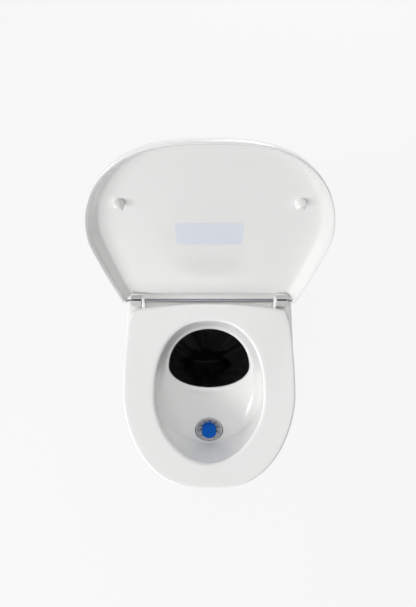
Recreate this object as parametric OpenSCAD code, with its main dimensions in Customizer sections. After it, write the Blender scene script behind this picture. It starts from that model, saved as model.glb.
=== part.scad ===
// Urine-diverting dry toilet: a moulded tub with a lift-off top, seat and lid.
// Millimetres, Z up, front towards -Y, lid open and seat down.

/* [Overall] */
// Width over the widest part of the seat
seat_w = 396; // [380:2:420]
// Hinge line to the front tip of the seat
front_reach = 424; // [410:2:440]
// Hinge line to the flat back of the casing
rear_reach = 150; // [144:2:170]
// Floor to the top of the seat
seat_top = 420; // [400:2:460]

/* [Casing] */
// Wall of both casings
wall = 3; // [2.5:0.1:3.5]
// Step from the seat's edge out to the casing
casing_step = 2; // [1:0.5:3]
// Width of the casing at the hinge line
hinge_w = 386; // [380:2:390]
// Width of the flat back's side walls
back_w = 356; // [340:2:370]
// Corner radius at the back
back_r = 45; // [35:1:55]
// Height of the removable top's outer skirt
skirt_h = 78; // [70:1:86]
// Radius on the top's outer edge
deck_r = 9; // [6:1:11]
// How far the sides draw in towards the floor
side_taper = 26; // [16:1:32]
// How far the toe draws in towards the floor
toe_taper = 60; // [40:2:70]
// How far the top's skirt laps over the tub's rim
lap = 12; // [8:1:16]
// Gap between the skirt and the rim
lap_gap = 0.5; // [0.4:0.1:1]
// Height of the rubber seal on the rim
seal_h = 3; // [2:0.5:4]
// Height of the rubber feet
foot_h = 5; // [4:0.5:8]
// Diameter of the rubber feet
foot_d = 32; // [24:1:38]
// Gap between the urine pipe and the bucket over it
pipe_gap = 2.5; // [1:0.5:6]
// Diameter of the holes for the floor screws
floor_hole_d = 6.5; // [5:0.5:8]
// Spacing across the floor holes
floor_hole_span = 250; // [220:5:260]

/* [Seat] */
// Thickness of the seat
seat_t = 16; // [14:0.5:18]
// Width of the seat at its rear corners
seat_rear_w = 361; // [352:1:366]
// Width of the opening
hole_w = 249; // [240:1:256]
// Hinge line to the rear of the opening
hole_rear = 41; // [38:1:46]
// Hinge line to the front of the opening
hole_front = 368; // [360:1:374]
// Radius on the seat's outer edge
seat_edge_r = 6; // [4:0.5:8]
// Radius on the seat's inner lip
seat_lip_r = 7; // [5:0.5:8]
// Height of the rubber buffers under the seat
buffer_h = 5; // [4:0.5:7]
// Diameter of the rubber buffers
buffer_d = 16; // [12:1:20]

/* [Lid] */
// Opening angle of the lid at rest
lid_angle = 109; // [100:1:115]
// Overhang of the lid beyond the seat
lid_overhang = 7.5; // [7:0.5:10]
// Depth of the lid from its rim to its crown's edge
lid_depth = 26; // [24:0.5:30]
// Width of the rounded band along the lid's edge
lid_round = 34; // [28:1:40]
// Width of the flat rim
lid_rim = 6.5; // [6:0.25:6.75]
// Thickness of the lid's panel
lid_t = 4; // [3:0.25:5]
// Rise of the crown over the panel
lid_crown = 2; // [0:0.5:3]
// Diameter of the lid's two bumpers
bumper_d = 16; // [12:1:18]
// Centre of a bumper in from the edge of the lid's panel
bumper_inset = 14.8; // [12:0.2:40]
// Distance of the bumpers from the hinge line
bumper_reach = 304; // [280:2:312]

/* [Hinge] */
// Diameter of the stainless hinge pin
pin_d = 5; // [4:0.5:6]
// Diameter of the polished sleeve
sleeve_d = 8; // [7.5:0.5:9]
// Hinge line back to the pin
pin_back = 6; // [5.5:0.5:7]
// Seat top down to the pin
pin_drop = 2; // [1:0.5:3]
// Length over the pin
pin_len = 387; // [384:1:388]
// Diameter of the ribbed bushes
bush_d = 24; // [22:1:25]
// Length of one bush
bush_len = 23; // [16:1:24]
// Number of ribs round a bush
bush_ribs = 16; // [10:1:20]
// Centre to the inner face of a bush
bush_x = 154; // [153.5:0.5:156]
// Thickness of the seat's hinge lugs
lug_t = 7; // [5:0.5:8]
// Running gap on the pin, on the diameter
pin_fit = 0.1; // [0.06:0.02:0.18]

/* [Bowl] */
// Wall of the bowl
bowl_t = 3; // [2.5:0.1:3.5]
// Seat top down to the ridge round the rear opening
ridge_drop = 70; // [62:1:76]
// Width of the rear opening
chute_w = 200; // [190:1:204]
// Hinge line to the rear of the rear opening
chute_rear = 56; // [54:1:62]
// Hinge line to the ridge's crest
chute_front = 200; // [190:1:208]
// Depth of the lip below the rear opening
lip_h = 12; // [8:1:16]
// Width of the bowl's flange on the casing
flange_w = 14; // [10:1:18]
// Hinge line to the drain
drain_reach = 316; // [310:1:320]
// Forward slope of the drain
drain_tilt = 23; // [15:1:28]
// Diameter of the strainer
strainer_d = 70; // [60:1:72]
// Number of slots in the strainer
slots = 10; // [6:1:12]
// Width of a slot
slot_w = 2.6; // [1.5:0.1:3.5]
// Diameter of the deodorant tablet
tablet_d = 37; // [28:1:38]
// Thickness of the tablet
tablet_h = 22; // [14:1:24]

/* [Urine line] */
// Outer diameter of the urine pipe
pipe_d = 32; // [30:1:34]
// Wall of the urine pipe
pipe_t = 2; // [1.5:0.25:3]
// Width of the funnel under the bowl
funnel_d = 56; // [46:1:60]
// Length of the outlet spigot outside the casing
spigot_len = 26; // [20:1:30]

/* [Bucket] */
// Width of the solids bucket at its top
bucket_w = 300; // [280:2:306]
// Depth of the bucket at its top
bucket_l = 212; // [204:2:216]
// Corner radius of the bucket
bucket_r = 55; // [45:1:65]
// Wall of the bucket
bucket_t = 2.5; // [2:0.25:3]
// Draft of the bucket's walls over its height
bucket_draft = 14; // [8:1:18]
// Gap from the bucket's rim to the bowl's lip
bucket_gap = 17; // [14:1:20]
// Diameter of the bail's wire
bail_d = 5; // [4:0.5:6]
// Diameter of the bail's grip
grip_d = 17; // [14:1:18]
// Length of the bail's grip
grip_len = 95; // [80:5:120]

/* [Ventilation] */
// Outer diameter of the vent spigot
vent_d = 75; // [70:1:76]
// Length of the vent spigot outside the casing
vent_len = 30; // [24:1:40]
// Height of the vent's centre below the casing joint
vent_drop = 56; // [54:1:70]
// Side of the fan's square frame
fan_side = 80; // [78:1:86]
// Depth of the fan's frame
fan_depth = 25; // [24:0.5:28]
// Number of fan blades
blades = 7; // [5:1:9]
// Gap between the blade tips and the frame
tip_gap = 1.5; // [1:0.25:2.5]

/* [Hidden] */

// Colours
white = "#f1f2f2";
grey_plastic = "#9a9c9e";
rubber = "#2b2c2e";
black_plastic = "#1c1d20";
steel = "#c4c7ca";
blue = "#0a5fc8";

// Small clearances and overlaps
eps = 0.01;
cut = 1;
slip = 0.1;
seat_gap = 0.3;

// Places along Y: the hinge line stands so that the whole depth is centred on the origin
line_y = (front_reach + casing_step - rear_reach - vent_len) / 2;
back_y = line_y + rear_reach;

// Heights
deck_z = seat_top - seat_t - buffer_h;
split_z = deck_z - skirt_h;
rim_z = split_z + lap;
floor_z = foot_h + wall + 1;
pin_y = line_y + pin_back;
pin_z = seat_top - pin_drop;
ridge_z = seat_top - ridge_drop;
drain_y = line_y - drain_reach;
drain_z = ridge_z - (drain_reach - chute_front) * tan(drain_tilt);

// Shape of the plan: where it is widest, and how square its front curve is
widest_reach = 216;
front_n = 1.65;
front_m = 2.76;
hole_widest = 215;
chute_widest = 145;

// Points per stretch of half an outline
arc_steps = 6;
side_steps = 6;
front_steps = 16;
rear_points = arc_steps + 1 + side_steps;

// ---------- outlines and lofts ----------

// Half an outline, from the back round the right side to the front tip, made whole
function whole(half) = concat(
    [for (i = [len(half) - 1 : -1 : 0]) half[i]],
    [for (i = [0 : len(half) - 2]) [-half[i].x, half[i].y]]
);

// Front curve from the widest point to the tip, with closer points near the tip
function front_half(w, reach) = [
    for (i = [0 : front_steps])
        let (t = 90 * sin(90 * i / front_steps))
        [w * pow(cos(t), 2 / front_m),
         line_y - widest_reach - (reach - widest_reach) * pow(sin(t), 2 / front_n)]
];

// Side curve that widens from the hinge line to the widest point
function side_half(w_hinge, w, start = 0) = [
    for (i = [0 : side_steps - 1])
        let (s = start + (1 - start) * i / side_steps)
        [w_hinge + (w - w_hinge) * sin(90 * s), line_y - widest_reach * s]
];

// Plan of the casing: inset at the sides, at the toe and at the back
function casing_plan(side, toe, back) = let (
        w = seat_w / 2 + casing_step - side,
        w_hinge = hinge_w / 2 - side,
        w_back = back_w / 2 - side,
        y = back_y - back,
        r = back_r - back
    )
    whole(concat(
        [for (i = [0 : arc_steps])
            let (q = 90 - 90 * i / arc_steps)
            [w_back - r + r * cos(q), y - r + r * sin(q)]],
        side_half(w_hinge, w),
        front_half(w, front_reach + casing_step - toe)
    ));

// Superellipse egg: rear part and front part meet at the widest place
function egg_plan(w, rear, widest, front, rear_p, front_p) = whole(concat(
        [for (i = [0 : rear_points - 1])
            let (t = 90 * (i + 0.5) / rear_points)
            [w * pow(sin(t), 2 / rear_p),
             line_y - widest + (widest - rear) * pow(cos(t), 2 / rear_p)]],
        [for (i = [0 : front_steps])
            let (t = 90 * sin(90 * i / front_steps))
            [w * pow(cos(t), 2 / front_p),
             line_y - widest - (front - widest) * pow(sin(t), 2 / front_p)]]
    ));

// Step from the seat's opening out to the bowl's edge, and the bowl's gap in the casing
bowl_step = 4;
bowl_gap = 1;

// Opening of the seat and bowl, grown by d
function hole_plan(d) =
    egg_plan(hole_w / 2 + d, hole_rear - d, hole_widest, hole_front + d, 2.35, 1.76);

// Rear opening of the bowl, grown by d
function chute_plan(d) =
    egg_plan(chute_w / 2 + d, chute_rear - d, chute_widest, chute_front + d, 2.3, 2);

// Plan of the seat, inset by d: a bowed rear edge with round corners
seat_corner_r = 14;
seat_rear_y = 5;
seat_rear_bow = 15;
function seat_plan(d) = let (
        w = seat_rear_w / 2 - d,
        r = seat_corner_r,
        x_edge = w - r,
        y_edge = pin_y - seat_rear_y - d,
        y_corner = y_edge - seat_rear_bow - r
    )
    whole(concat(
        [for (i = [0 : 3])
            let (x = x_edge * (i + 0.5) / 4)
            [x, y_edge - seat_rear_bow * pow(x / x_edge, 2)]],
        [for (q = [80, 40, 0]) [x_edge + r * cos(q), y_corner + r * sin(q)]],
        side_half(w, seat_w / 2 - d, (line_y - y_corner + r) / widest_reach),
        front_half(seat_w / 2 - d, front_reach - d)
    ));

// Plan of the lid, inset by d but not at its rear edge
lid_rear = 4;
lid_w_hinge = hinge_w / 2 + lid_overhang - 3.5;
function lid_plan(d, extra = 0) = let (
        w = seat_w / 2 + lid_overhang - d,
        w_hinge = lid_w_hinge - d
    )
    whole(concat(
        [for (i = [0 : arc_steps])
            [w_hinge * (0.4 + 0.6 * i / arc_steps), line_y + lid_rear + extra]],
        side_half(w_hinge, w, 0.01),
        front_half(w, front_reach + lid_overhang - d)
    ));

// Rectangle with round corners, centred on [x, y]
function box_plan(half_x, half_y, r, y) = let (k = 7) concat(
        [for (i = [0 : k]) let (q = 90 * i / k) [half_x - r + r * cos(q), y + half_y - r + r * sin(q)]],
        [for (i = [0 : k]) let (q = 90 + 90 * i / k) [r - half_x + r * cos(q), y + half_y - r + r * sin(q)]],
        [for (i = [0 : k]) let (q = 180 + 90 * i / k) [r - half_x + r * cos(q), y + r - half_y + r * sin(q)]],
        [for (i = [0 : k]) let (q = 270 + 90 * i / k) [half_x - r + r * cos(q), y + r - half_y + r * sin(q)]]
    );

function at(plan, z) = [for (p = plan) [p.x, p.y, z]];

// The two triangles between ring a and ring b, n points each
function strip(a, b, n) = [
    for (j = [0 : n - 1])
        let (k = (j + 1) % n)
        each [[a + j, b + j, b + k], [a + j, b + k, a + k]]
];

// Closed solid through a stack of rings, lowest first
module loft(rings) {
    n = len(rings[0]);
    top = len(rings) - 1;
    polyhedron(
        points = [for (r = rings) each r],
        faces = concat(
            [[for (j = [0 : n - 1]) j]],
            [for (i = [0 : top - 1]) each strip(i * n, (i + 1) * n, n)],
            [[for (j = [n - 1 : -1 : 0]) top * n + j]]
        )
    );
}

// Ring-shaped solid: the rings run once round its section
module loft_loop(rings) {
    n = len(rings[0]);
    k = len(rings);
    polyhedron(
        points = [for (r = rings) each r],
        faces = [for (i = [0 : k - 1]) each strip(i * n, ((i + 1) % k) * n, n)]
    );
}

module tube(d, bore, h) {
    difference() {
        cylinder(d = d, h = h, $fn = 64);
        translate([0, 0, -cut]) cylinder(d = bore, h = h + 2 * cut, $fn = 64);
    }
}

// Turns a part drawn along +Z so that it runs forward from the casing's back at height z
module from_back(x, depth, z) {
    translate([x, back_y - depth, z]) rotate([90, 0, 0]) children();
}

// Mirrored pair about the middle plane
module pair() {
    for (side = [-1, 1]) scale([side, 1, 1]) children();
}

// ---------- casing ----------

vent_z = split_z - vent_drop;
floor_round = 6;
outlet_flange_d = pipe_d + 10;
outlet_neck_d = pipe_d + 3;
vent_neck_d = vent_d + 2;
pipe_z = floor_z + floor_round + outlet_flange_d / 2 + seat_gap;
bucket_z = pipe_z + pipe_d / 2 + pipe_gap;
inlet_x = -82;
inlet_d = 11;
foot_inset = 34;
foot_rear_x = back_w / 2 - 60;
foot_front_x = hinge_w / 2 - 97;
foot_front_reach = front_reach - 144;

// Share of the taper at height z: nothing at the joint, all of it at the floor
function draw_in(z) = pow((split_z - z) / (split_z - foot_h), 1.4);
function tub_ring(z, extra, back) =
    at(casing_plan(side_taper * draw_in(z) + extra, toe_taper * draw_in(z) + extra, back), z);

foot_places = [
    for (x = [-1, 1])
        each [[x * foot_rear_x, back_y - foot_inset], [x * foot_front_x, line_y - foot_front_reach]]
];

module tub_body() {
    tub_levels = [for (i = [0 : 5]) foot_h + 7 + (split_z - 8 - foot_h) * i / 5];
    rim_in = wall + lap_gap;
    inner_levels = [for (i = [0 : 4]) floor_z + floor_round + (split_z - 12 - floor_z) * i / 4];
    difference() {
        loft(concat(
            [tub_ring(foot_h, 6, 4)],
            [for (z = tub_levels) tub_ring(z, 0, 0)],
            [tub_ring(split_z - 1, rim_in, rim_in), at(casing_plan(rim_in, rim_in, rim_in), rim_z)]
        ));
        loft(concat(
            [tub_ring(floor_z, wall + 5, wall + 3)],
            [for (z = inner_levels) tub_ring(z, wall, wall)],
            [for (z = [split_z - 2, rim_z + cut])
                at(casing_plan(rim_in + wall, rim_in + wall, rim_in + wall), z)]
        ));
    }
}

module lower_casing() {
    rail_l = bucket_l - 2 * bucket_r;
    rail_x = 40;
    rail_step = 45;
    rail_t = 4;
    screw_back = 20;
    color(white) difference() {
        union() {
            tub_body();
            // Ribs that carry the bucket and leave a channel for the urine pipe
            for (x = [-1, 1], k = [0, 1])
                translate([x * (rail_x + rail_step * k) - rail_t / 2, bucket_y - rail_l / 2, floor_z - eps])
                    cube([rail_t, rail_l, bucket_z - seat_gap - floor_z]);
        }
        from_back(0, -cut, vent_z) cylinder(d = vent_neck_d + 2 * seat_gap, h = wall + 2 * cut, $fn = 64);
        from_back(0, -cut, pipe_z) cylinder(d = outlet_neck_d + 0.4, h = wall + 2 * cut, $fn = 64);
        from_back(inlet_x, -cut, vent_z) cylinder(d = inlet_d + 0.4, h = wall + 2 * cut, $fn = 48);
        for (x = [-1, 1])
            translate([x * floor_hole_span / 2, line_y - screw_back, 0])
                cylinder(d = floor_hole_d, h = floor_z + cut, $fn = 32);
    }
}

module rubber_feet() {
    color(rubber) for (p = foot_places) translate(p) {
        cylinder(d = foot_d, h = foot_h, $fn = 48);
    }
}

module casing_seal() {
    rim_in = wall + lap_gap;
    inner = rim_in + wall + 2;
    color(rubber) difference() {
        loft([for (z = [rim_z, rim_z + seal_h]) at(casing_plan(rim_in, rim_in, rim_in), z)]);
        loft([for (z = [rim_z - cut, rim_z + seal_h + cut]) at(casing_plan(inner, inner, inner), z)]);
    }
}

// Block with a round trough that carries one bush
module bush_cradle() {
    half_y = bush_d / 2 + 1;
    translate([bush_x, pin_y - half_y, deck_z - 1]) difference() {
        cube([bush_len, 2 * half_y, pin_z - deck_z - 3]);
        translate([-cut, half_y, pin_z - deck_z + 1]) rotate([0, 90, 0])
            cylinder(d = bush_d + slip, h = bush_len + 2 * cut, $fn = 64);
    }
}

module upper_casing() {
    ledge_z = rim_z + seal_h;
    ledge = wall + 9;
    opening = bowl_step + bowl_t + bowl_gap;
    color(white) difference() {
        union() {
            difference() {
                loft([
                    at(casing_plan(0, 0, 0), split_z),
                    at(casing_plan(0, 0, 0), deck_z - deck_r),
                    for (q = [30, 60, 90])
                        let (d = deck_r * (1 - cos(q)))
                        at(casing_plan(d, d, d), deck_z - deck_r + deck_r * sin(q))
                ]);
                loft([
                    at(casing_plan(wall, wall, wall), split_z - cut),
                    at(casing_plan(wall, wall, wall), deck_z - wall - 4),
                    at(casing_plan(wall + 4, wall + 4, wall + 4), deck_z - wall)
                ]);
            }
            // Ledge that rests on the seal
            difference() {
                loft([for (z = [ledge_z, ledge_z + 3]) at(casing_plan(wall - eps, wall - eps, wall - eps), z)]);
                loft([for (z = [ledge_z - cut, ledge_z + 3 + cut]) at(casing_plan(ledge, ledge, ledge), z)]);
            }
            pair() bush_cradle();
        }
        loft([for (z = [deck_z - wall - cut, deck_z + cut]) at(hole_plan(opening), z)]);
    }
}

// ---------- bowl ----------

// Shares of the way from the bowl's edge to its rear opening, closer at the steep front wall
wall_share = 0.115;
wall_steps = 4;
floor_steps = 7;
bowl_shares = concat(
    [for (i = [0 : wall_steps - 1]) wall_share * i / wall_steps],
    [for (i = [0 : floor_steps]) wall_share + (1 - wall_share) * i / floor_steps]
);

// Share of the front profile for outline point j: all of it at the tip, none beside the ridge
function front_share(j) = let (
        n = 2 * (rear_points + front_steps) + 1,
        k = min(j, n - j)
    )
    k > front_steps ? 0 : sin(90 * (1 - pow(k / front_steps, 1.8)));

// Height of the edge, and of the foot of the front wall
edge_z = deck_z + 1;
foot_z = ridge_z - (hole_front + bowl_step - chute_front) * (1 - wall_share) * tan(drain_tilt);

// Height along the middle of the front: a steep wall, then a floor that climbs to the ridge
function front_z(v) = let (u = (v - wall_share) / (1 - wall_share))
    v < wall_share
        ? edge_z - (edge_z - foot_z) * pow(sin(90 * v / wall_share), 0.8)
        : foot_z + (ridge_z - foot_z) * (0.85 * u + 0.15 * sin(90 * u));

// Height beside and behind the rear opening
function side_z(v) = edge_z - (edge_z - ridge_z) * (1 - pow(1 - v, 1.8));

function bowl_ring(v, d, drop) = let (
        outer = hole_plan(bowl_step + d),
        inner = chute_plan(d)
    )
    [for (j = [0 : len(outer) - 1])
        let (
            p = outer[j] + (inner[j] - outer[j]) * v,
            share = front_share(j)
        )
        [p.x, p.y, front_z(v) * share + side_z(v) * (1 - share) - drop]];

// Frame of the drain, tilted forward
module at_drain() {
    translate([0, drain_y, drain_z]) rotate([drain_tilt, 0, 0]) children();
}

cup_wall = 3;
cup_gap = 1;
cup_depth = 15;
cup_ledge = 3.5;
cup_d = strainer_d + 2 * (cup_gap + cup_wall);
strainer_t = 1.5;
spout_d = 26;
spout_bore = 20;
spout_drop = 62;
spout_z = drain_z - spout_drop;
funnel_y = drain_y + 3;

module bowl_insert() {
    last = len(bowl_shares) - 1;
    flange_h = 2.5;
    color(white) difference() {
        union() {
            // Skin from the edge in to the rear opening, its lip, then back out underneath
            loft_loop(concat(
                [for (v = bowl_shares) bowl_ring(v, 0, 0)],
                [at(chute_plan(0), ridge_z - lip_h), at(chute_plan(bowl_t), ridge_z - lip_h)],
                [for (i = [last : -1 : 0]) bowl_ring(bowl_shares[i], bowl_t, bowl_t)]
            ));
            // Flange on the casing
            difference() {
                loft([for (z = [deck_z, deck_z + flange_h]) at(hole_plan(flange_w), z)]);
                loft([for (z = [deck_z - cut, deck_z + flange_h + cut]) at(hole_plan(bowl_step - eps), z)]);
            }
            // Cup that holds the strainer, and the spout below it
            at_drain() translate([0, 0, -cup_depth]) cylinder(d = cup_d, h = cup_depth, $fn = 64);
            translate([0, funnel_y, spout_z]) cylinder(d = spout_d, h = 50, $fn = 48);
        }
        // Recess for the strainer's rim, and the bore below its ledge
        at_drain() {
            translate([0, 0, -strainer_t]) cylinder(d = strainer_d + 2 * cup_gap, h = 10, $fn = 64);
            translate([0, 0, cup_wall - cup_depth])
                cylinder(d = strainer_d - 2 * cup_ledge, h = cup_depth, $fn = 64);
        }
        translate([0, funnel_y, spout_z - cut]) cylinder(d = spout_bore, h = 55, $fn = 48);
    }
}

// Dished strainer with slots, its rim on the cup's ledge
dish_depth = 7;
module drain_strainer() {
    r = strainer_d / 2;
    color(steel) at_drain() difference() {
        rotate_extrude($fn = 96) polygon([
            [0, -dish_depth - strainer_t], [r * 0.5, -dish_depth - strainer_t],
            [r - 5, -strainer_t], [r, -strainer_t], [r, 0],
            [r - 5, 0], [r * 0.5, -dish_depth], [0, -dish_depth]
        ]);
        for (i = [0 : slots - 1])
            rotate([0, 0, 264 + i * 360 / slots])
                translate([r * 0.34, -slot_w / 2, -dish_depth - 5])
                    cube([r * 0.42, slot_w, dish_depth + 10]);
    }
}

module deodorant_tablet() {
    r = tablet_d / 2;
    edge = 5;
    color(blue) at_drain() translate([0, 0, -dish_depth + slip])
        rotate_extrude($fn = 64) {
            square([r * 0.85, 1]);
            translate([0, 1]) square([r, tablet_h - 1 - edge]);
            translate([0, tablet_h - edge]) intersection() {
                translate([r - edge, 0]) circle(r = edge, $fn = 48);
                square([r, edge]);
            }
            translate([0, tablet_h - edge - eps]) square([r - edge, edge + eps]);
        }
}

// ---------- seat ----------

lug_x = bush_x - 0.5 - lug_t;

module seat_lug() {
    translate([lug_x, 0, 0]) difference() {
        union() {
            translate([0, pin_y, pin_z]) rotate([0, 90, 0]) cylinder(d = 20, h = lug_t, $fn = 48);
            translate([0, pin_y - 34, seat_top - seat_t + 1]) cube([lug_t, 34, seat_t - 4]);
        }
        translate([-cut, pin_y, pin_z]) rotate([0, 90, 0])
            cylinder(d = pin_d + pin_fit, h = lug_t + 2 * cut, $fn = 48);
    }
}

module seat_ring() {
    under = seat_top - seat_t;
    outer_arc = [for (q = [0, 30, 60, 90]) [seat_edge_r * (1 - cos(q)), seat_edge_r * (sin(q) - 1)]];
    inner_arc = [for (q = [90, 60, 30, 0]) [seat_lip_r * (1 - cos(q)), seat_lip_r * (sin(q) - 1)]];
    color(white) union() {
        loft_loop(concat(
            [at(seat_plan(2), under), at(seat_plan(0), under + 2)],
            [for (p = outer_arc) at(seat_plan(p.x), seat_top + p.y)],
            [for (p = inner_arc) at(hole_plan(p.x), seat_top - 1.5 + p.y)],
            [at(hole_plan(1), under)]
        ));
        pair() seat_lug();
    }
}

module seat_buffers() {
    color(rubber) for (p = [[152, 96], [108, 344]], side = [-1, 1])
        translate([side * p.x, line_y - p.y, deck_z])
            cylinder(d = buffer_d, h = buffer_h, $fn = 48);
}

// ---------- lid ----------

lid_rim_z = pin_z - pin_back * sin(lid_angle) + pin_drop * cos(lid_angle);
inner_round = lid_round - lid_rim - 1;
inner_depth = lid_depth - lid_t;
bumper_peg_d = 5;
bumper_peg_h = 2.4;

// Swings what is drawn shut to the open rest position
module lid_open() {
    translate([0, pin_y, pin_z]) rotate([-lid_angle, 0, 0]) translate([0, -pin_y, -pin_z])
        children();
}

// Half width of the flat panel inside the lid at the bumpers
panel_w = seat_w / 2 + lid_overhang - lid_rim - inner_round;
panel_reach = front_reach + lid_overhang - lid_rim - inner_round;
bumper_turn = asin(pow((bumper_reach - widest_reach) / (panel_reach - widest_reach), front_n / 2));
bumper_x = panel_w * pow(cos(bumper_turn), 2 / front_m) - bumper_inset;

module at_bumper() {
    translate([bumper_x, line_y - bumper_reach, lid_rim_z + inner_depth]) children();
}

module lid_shell() {
    ear_in = 1.3;
    ear_t = lid_rim;
    steps = [0, 15, 30, 45, 60, 75, 90];
    color(white) lid_open() difference() {
        union() {
            difference() {
                loft(concat(
                    [for (q = steps)
                        at(lid_plan(lid_round * (1 - cos(q))), lid_rim_z + lid_depth * sin(q))],
                    [at(lid_plan(95), lid_rim_z + lid_depth + lid_crown * 0.8),
                     at(lid_plan(150), lid_rim_z + lid_depth + lid_crown)]
                ));
                loft(concat(
                    [at(lid_plan(lid_rim, 8), lid_rim_z - cut)],
                    [for (q = steps)
                        at(lid_plan(lid_rim + inner_round * (1 - cos(q)), 8),
                            lid_rim_z + inner_depth * sin(q))],
                    [at(lid_plan(95, 8), lid_rim_z + inner_depth + lid_crown * 0.8),
                     at(lid_plan(150, 8), lid_rim_z + inner_depth + lid_crown)]
                ));
            }
            // Ears that turn on the ends of the pin
            pair() translate([lid_w_hinge - ear_in - ear_t, pin_y, pin_z]) rotate([0, 90, 0])
                cylinder(r = 6.5, h = ear_t, $fn = 48);
        }
        translate([-pin_len / 2 - 0.5, pin_y, pin_z]) rotate([0, 90, 0])
            cylinder(d = pin_d + pin_fit, h = pin_len + 1, $fn = 48);
        // Blind holes for the bumpers' pegs
        pair() at_bumper() translate([0, 0, -cut])
            cylinder(d = bumper_peg_d + slip, h = bumper_peg_h + 0.3 + cut, $fn = 32);
    }
}

// Round-nosed bumpers, each with a peg in the lid's panel
module lid_bumpers() {
    r = bumper_d / 2;
    nose = 6;
    h = lid_rim_z + inner_depth - seat_top - seat_gap;
    color(white) lid_open() pair() at_bumper() {
        cylinder(d = bumper_peg_d, h = bumper_peg_h, $fn = 32);
        translate([0, 0, -h]) rotate_extrude($fn = 64) {
            translate([0, nose - eps]) square([r, h - nose + eps]);
            square([r - nose, nose]);
            intersection() {
                translate([r - nose, nose]) circle(r = nose, $fn = 48);
                square([r, nose]);
            }
        }
    }
}

// ---------- hinge ----------

module hinge_pin() {
    color(steel) translate([-pin_len / 2, pin_y, pin_z]) rotate([0, 90, 0])
        cylinder(d = pin_d, h = pin_len, $fn = 48);
}

module hinge_sleeve() {
    len = 2 * (lug_x - 0.5);
    color(steel) translate([-len / 2, pin_y, pin_z]) rotate([0, 90, 0])
        tube(sleeve_d, pin_d + pin_fit, len);
}

// Grey bush with ribs along it
module hinge_bushes() {
    root = bush_d / 2 - 1.6;
    color(grey_plastic) pair() translate([bush_x, pin_y, pin_z]) rotate([0, 90, 0])
        difference() {
            union() {
                cylinder(r = root, h = bush_len, $fn = 64);
                for (i = [0 : bush_ribs - 1])
                    rotate([0, 0, i * 360 / bush_ribs])
                        translate([root - 1, -0.9, 0]) cube([bush_d / 2 - root + 1 - 0.1, 1.8, bush_len]);
            }
            translate([0, 0, -cut]) cylinder(d = pin_d + slip, h = bush_len + 2 * cut, $fn = 48);
        }
}

// ---------- urine line ----------

funnel_top = spout_z + 14;
neck_z = spout_z - 12;
bend_r = pipe_d;

module urine_funnel() {
    r = funnel_d / 2;
    neck = pipe_d / 2;
    color(grey_plastic) translate([0, funnel_y, 0]) rotate_extrude($fn = 96) polygon([
        [neck + slip / 2, neck_z - 14], [neck + 2.5, neck_z - 14],
        [neck + 2.5, neck_z], [r, neck_z + 14], [r, funnel_top],
        [r - 2, funnel_top], [r - 2, neck_z + 15], [neck - pipe_t, neck_z + 1],
        [neck - pipe_t, neck_z], [neck + slip / 2, neck_z]
    ]);
}

outlet_in = 26;
socket_d = pipe_d + 5;
socket_l = outlet_in / 2;
bore_d = pipe_d - 2 * pipe_t;

// Upright pipe from the funnel down into the elbow
module urine_downpipe() {
    low = pipe_z + bend_r;
    color(grey_plastic) translate([0, funnel_y, low]) tube(pipe_d, bore_d, neck_z - seat_gap - low);
}

// Quarter bend in the plane of symmetry, of the given diameter
module bend(d) {
    translate([0, funnel_y + bend_r, pipe_z + bend_r]) rotate([0, 90, 0]) rotate([0, 0, -90])
        rotate_extrude(angle = 90, $fn = 96) translate([bend_r, 0]) circle(d = d, $fn = 64);
}

// Elbow with a socket at each end
module urine_elbow() {
    lead = 3;
    color(grey_plastic) difference() {
        union() {
            bend(pipe_d);
            translate([0, funnel_y, pipe_z + bend_r - lead])
                cylinder(d = socket_d, h = socket_l + lead, $fn = 64);
            translate([0, funnel_y + bend_r - lead, pipe_z]) rotate([-90, 0, 0])
                cylinder(d = socket_d, h = socket_l + lead, $fn = 64);
        }
        bend(bore_d);
        translate([0, funnel_y, pipe_z + bend_r]) cylinder(d = pipe_d + slip, h = socket_l + cut, $fn = 64);
        translate([0, funnel_y + bend_r, pipe_z]) rotate([-90, 0, 0])
            cylinder(d = pipe_d + slip, h = socket_l + cut, $fn = 64);
    }
}

// Level pipe from the elbow back to the outlet
module urine_pipe() {
    run = back_y - wall - socket_l - (funnel_y + bend_r);
    color(grey_plastic) translate([0, funnel_y + bend_r, pipe_z]) rotate([-90, 0, 0])
        tube(pipe_d, bore_d, run);
}

// Bulkhead spigot: socket inside, flange on the wall, neck for the nut and stub outside
module urine_outlet() {
    neck_l = wall + ring_h + nut_h;
    color(grey_plastic) from_back(0, -spigot_len, pipe_z) difference() {
        union() {
            cylinder(d = pipe_d, h = spigot_len + wall + 1, $fn = 64);
            translate([0, 0, spigot_len + wall - neck_l]) cylinder(d = outlet_neck_d, h = neck_l + 1, $fn = 64);
            translate([0, 0, spigot_len + wall]) cylinder(d = outlet_flange_d, h = 3, $fn = 64);
            translate([0, 0, spigot_len + wall]) cylinder(d = socket_d, h = outlet_in, $fn = 64);
        }
        translate([0, 0, -cut]) cylinder(d = bore_d, h = spigot_len + wall + 3 * cut + 20, $fn = 64);
        translate([0, 0, spigot_len + wall + socket_l])
            cylinder(d = pipe_d + slip, h = outlet_in, $fn = 64);
    }
}

nut_h = 7;
ring_h = 2;
module outlet_nut() {
    color(grey_plastic) from_back(0, -ring_h - nut_h, pipe_z) difference() {
        cylinder(d = outlet_neck_d + 15, h = nut_h, $fn = 6);
        translate([0, 0, -cut]) cylinder(d = outlet_neck_d + slip, h = nut_h + 2 * cut, $fn = 64);
    }
}

module outlet_seal() {
    color(rubber) from_back(0, -ring_h, pipe_z) tube(outlet_flange_d, outlet_neck_d + slip, ring_h);
}

// ---------- bucket ----------

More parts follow.
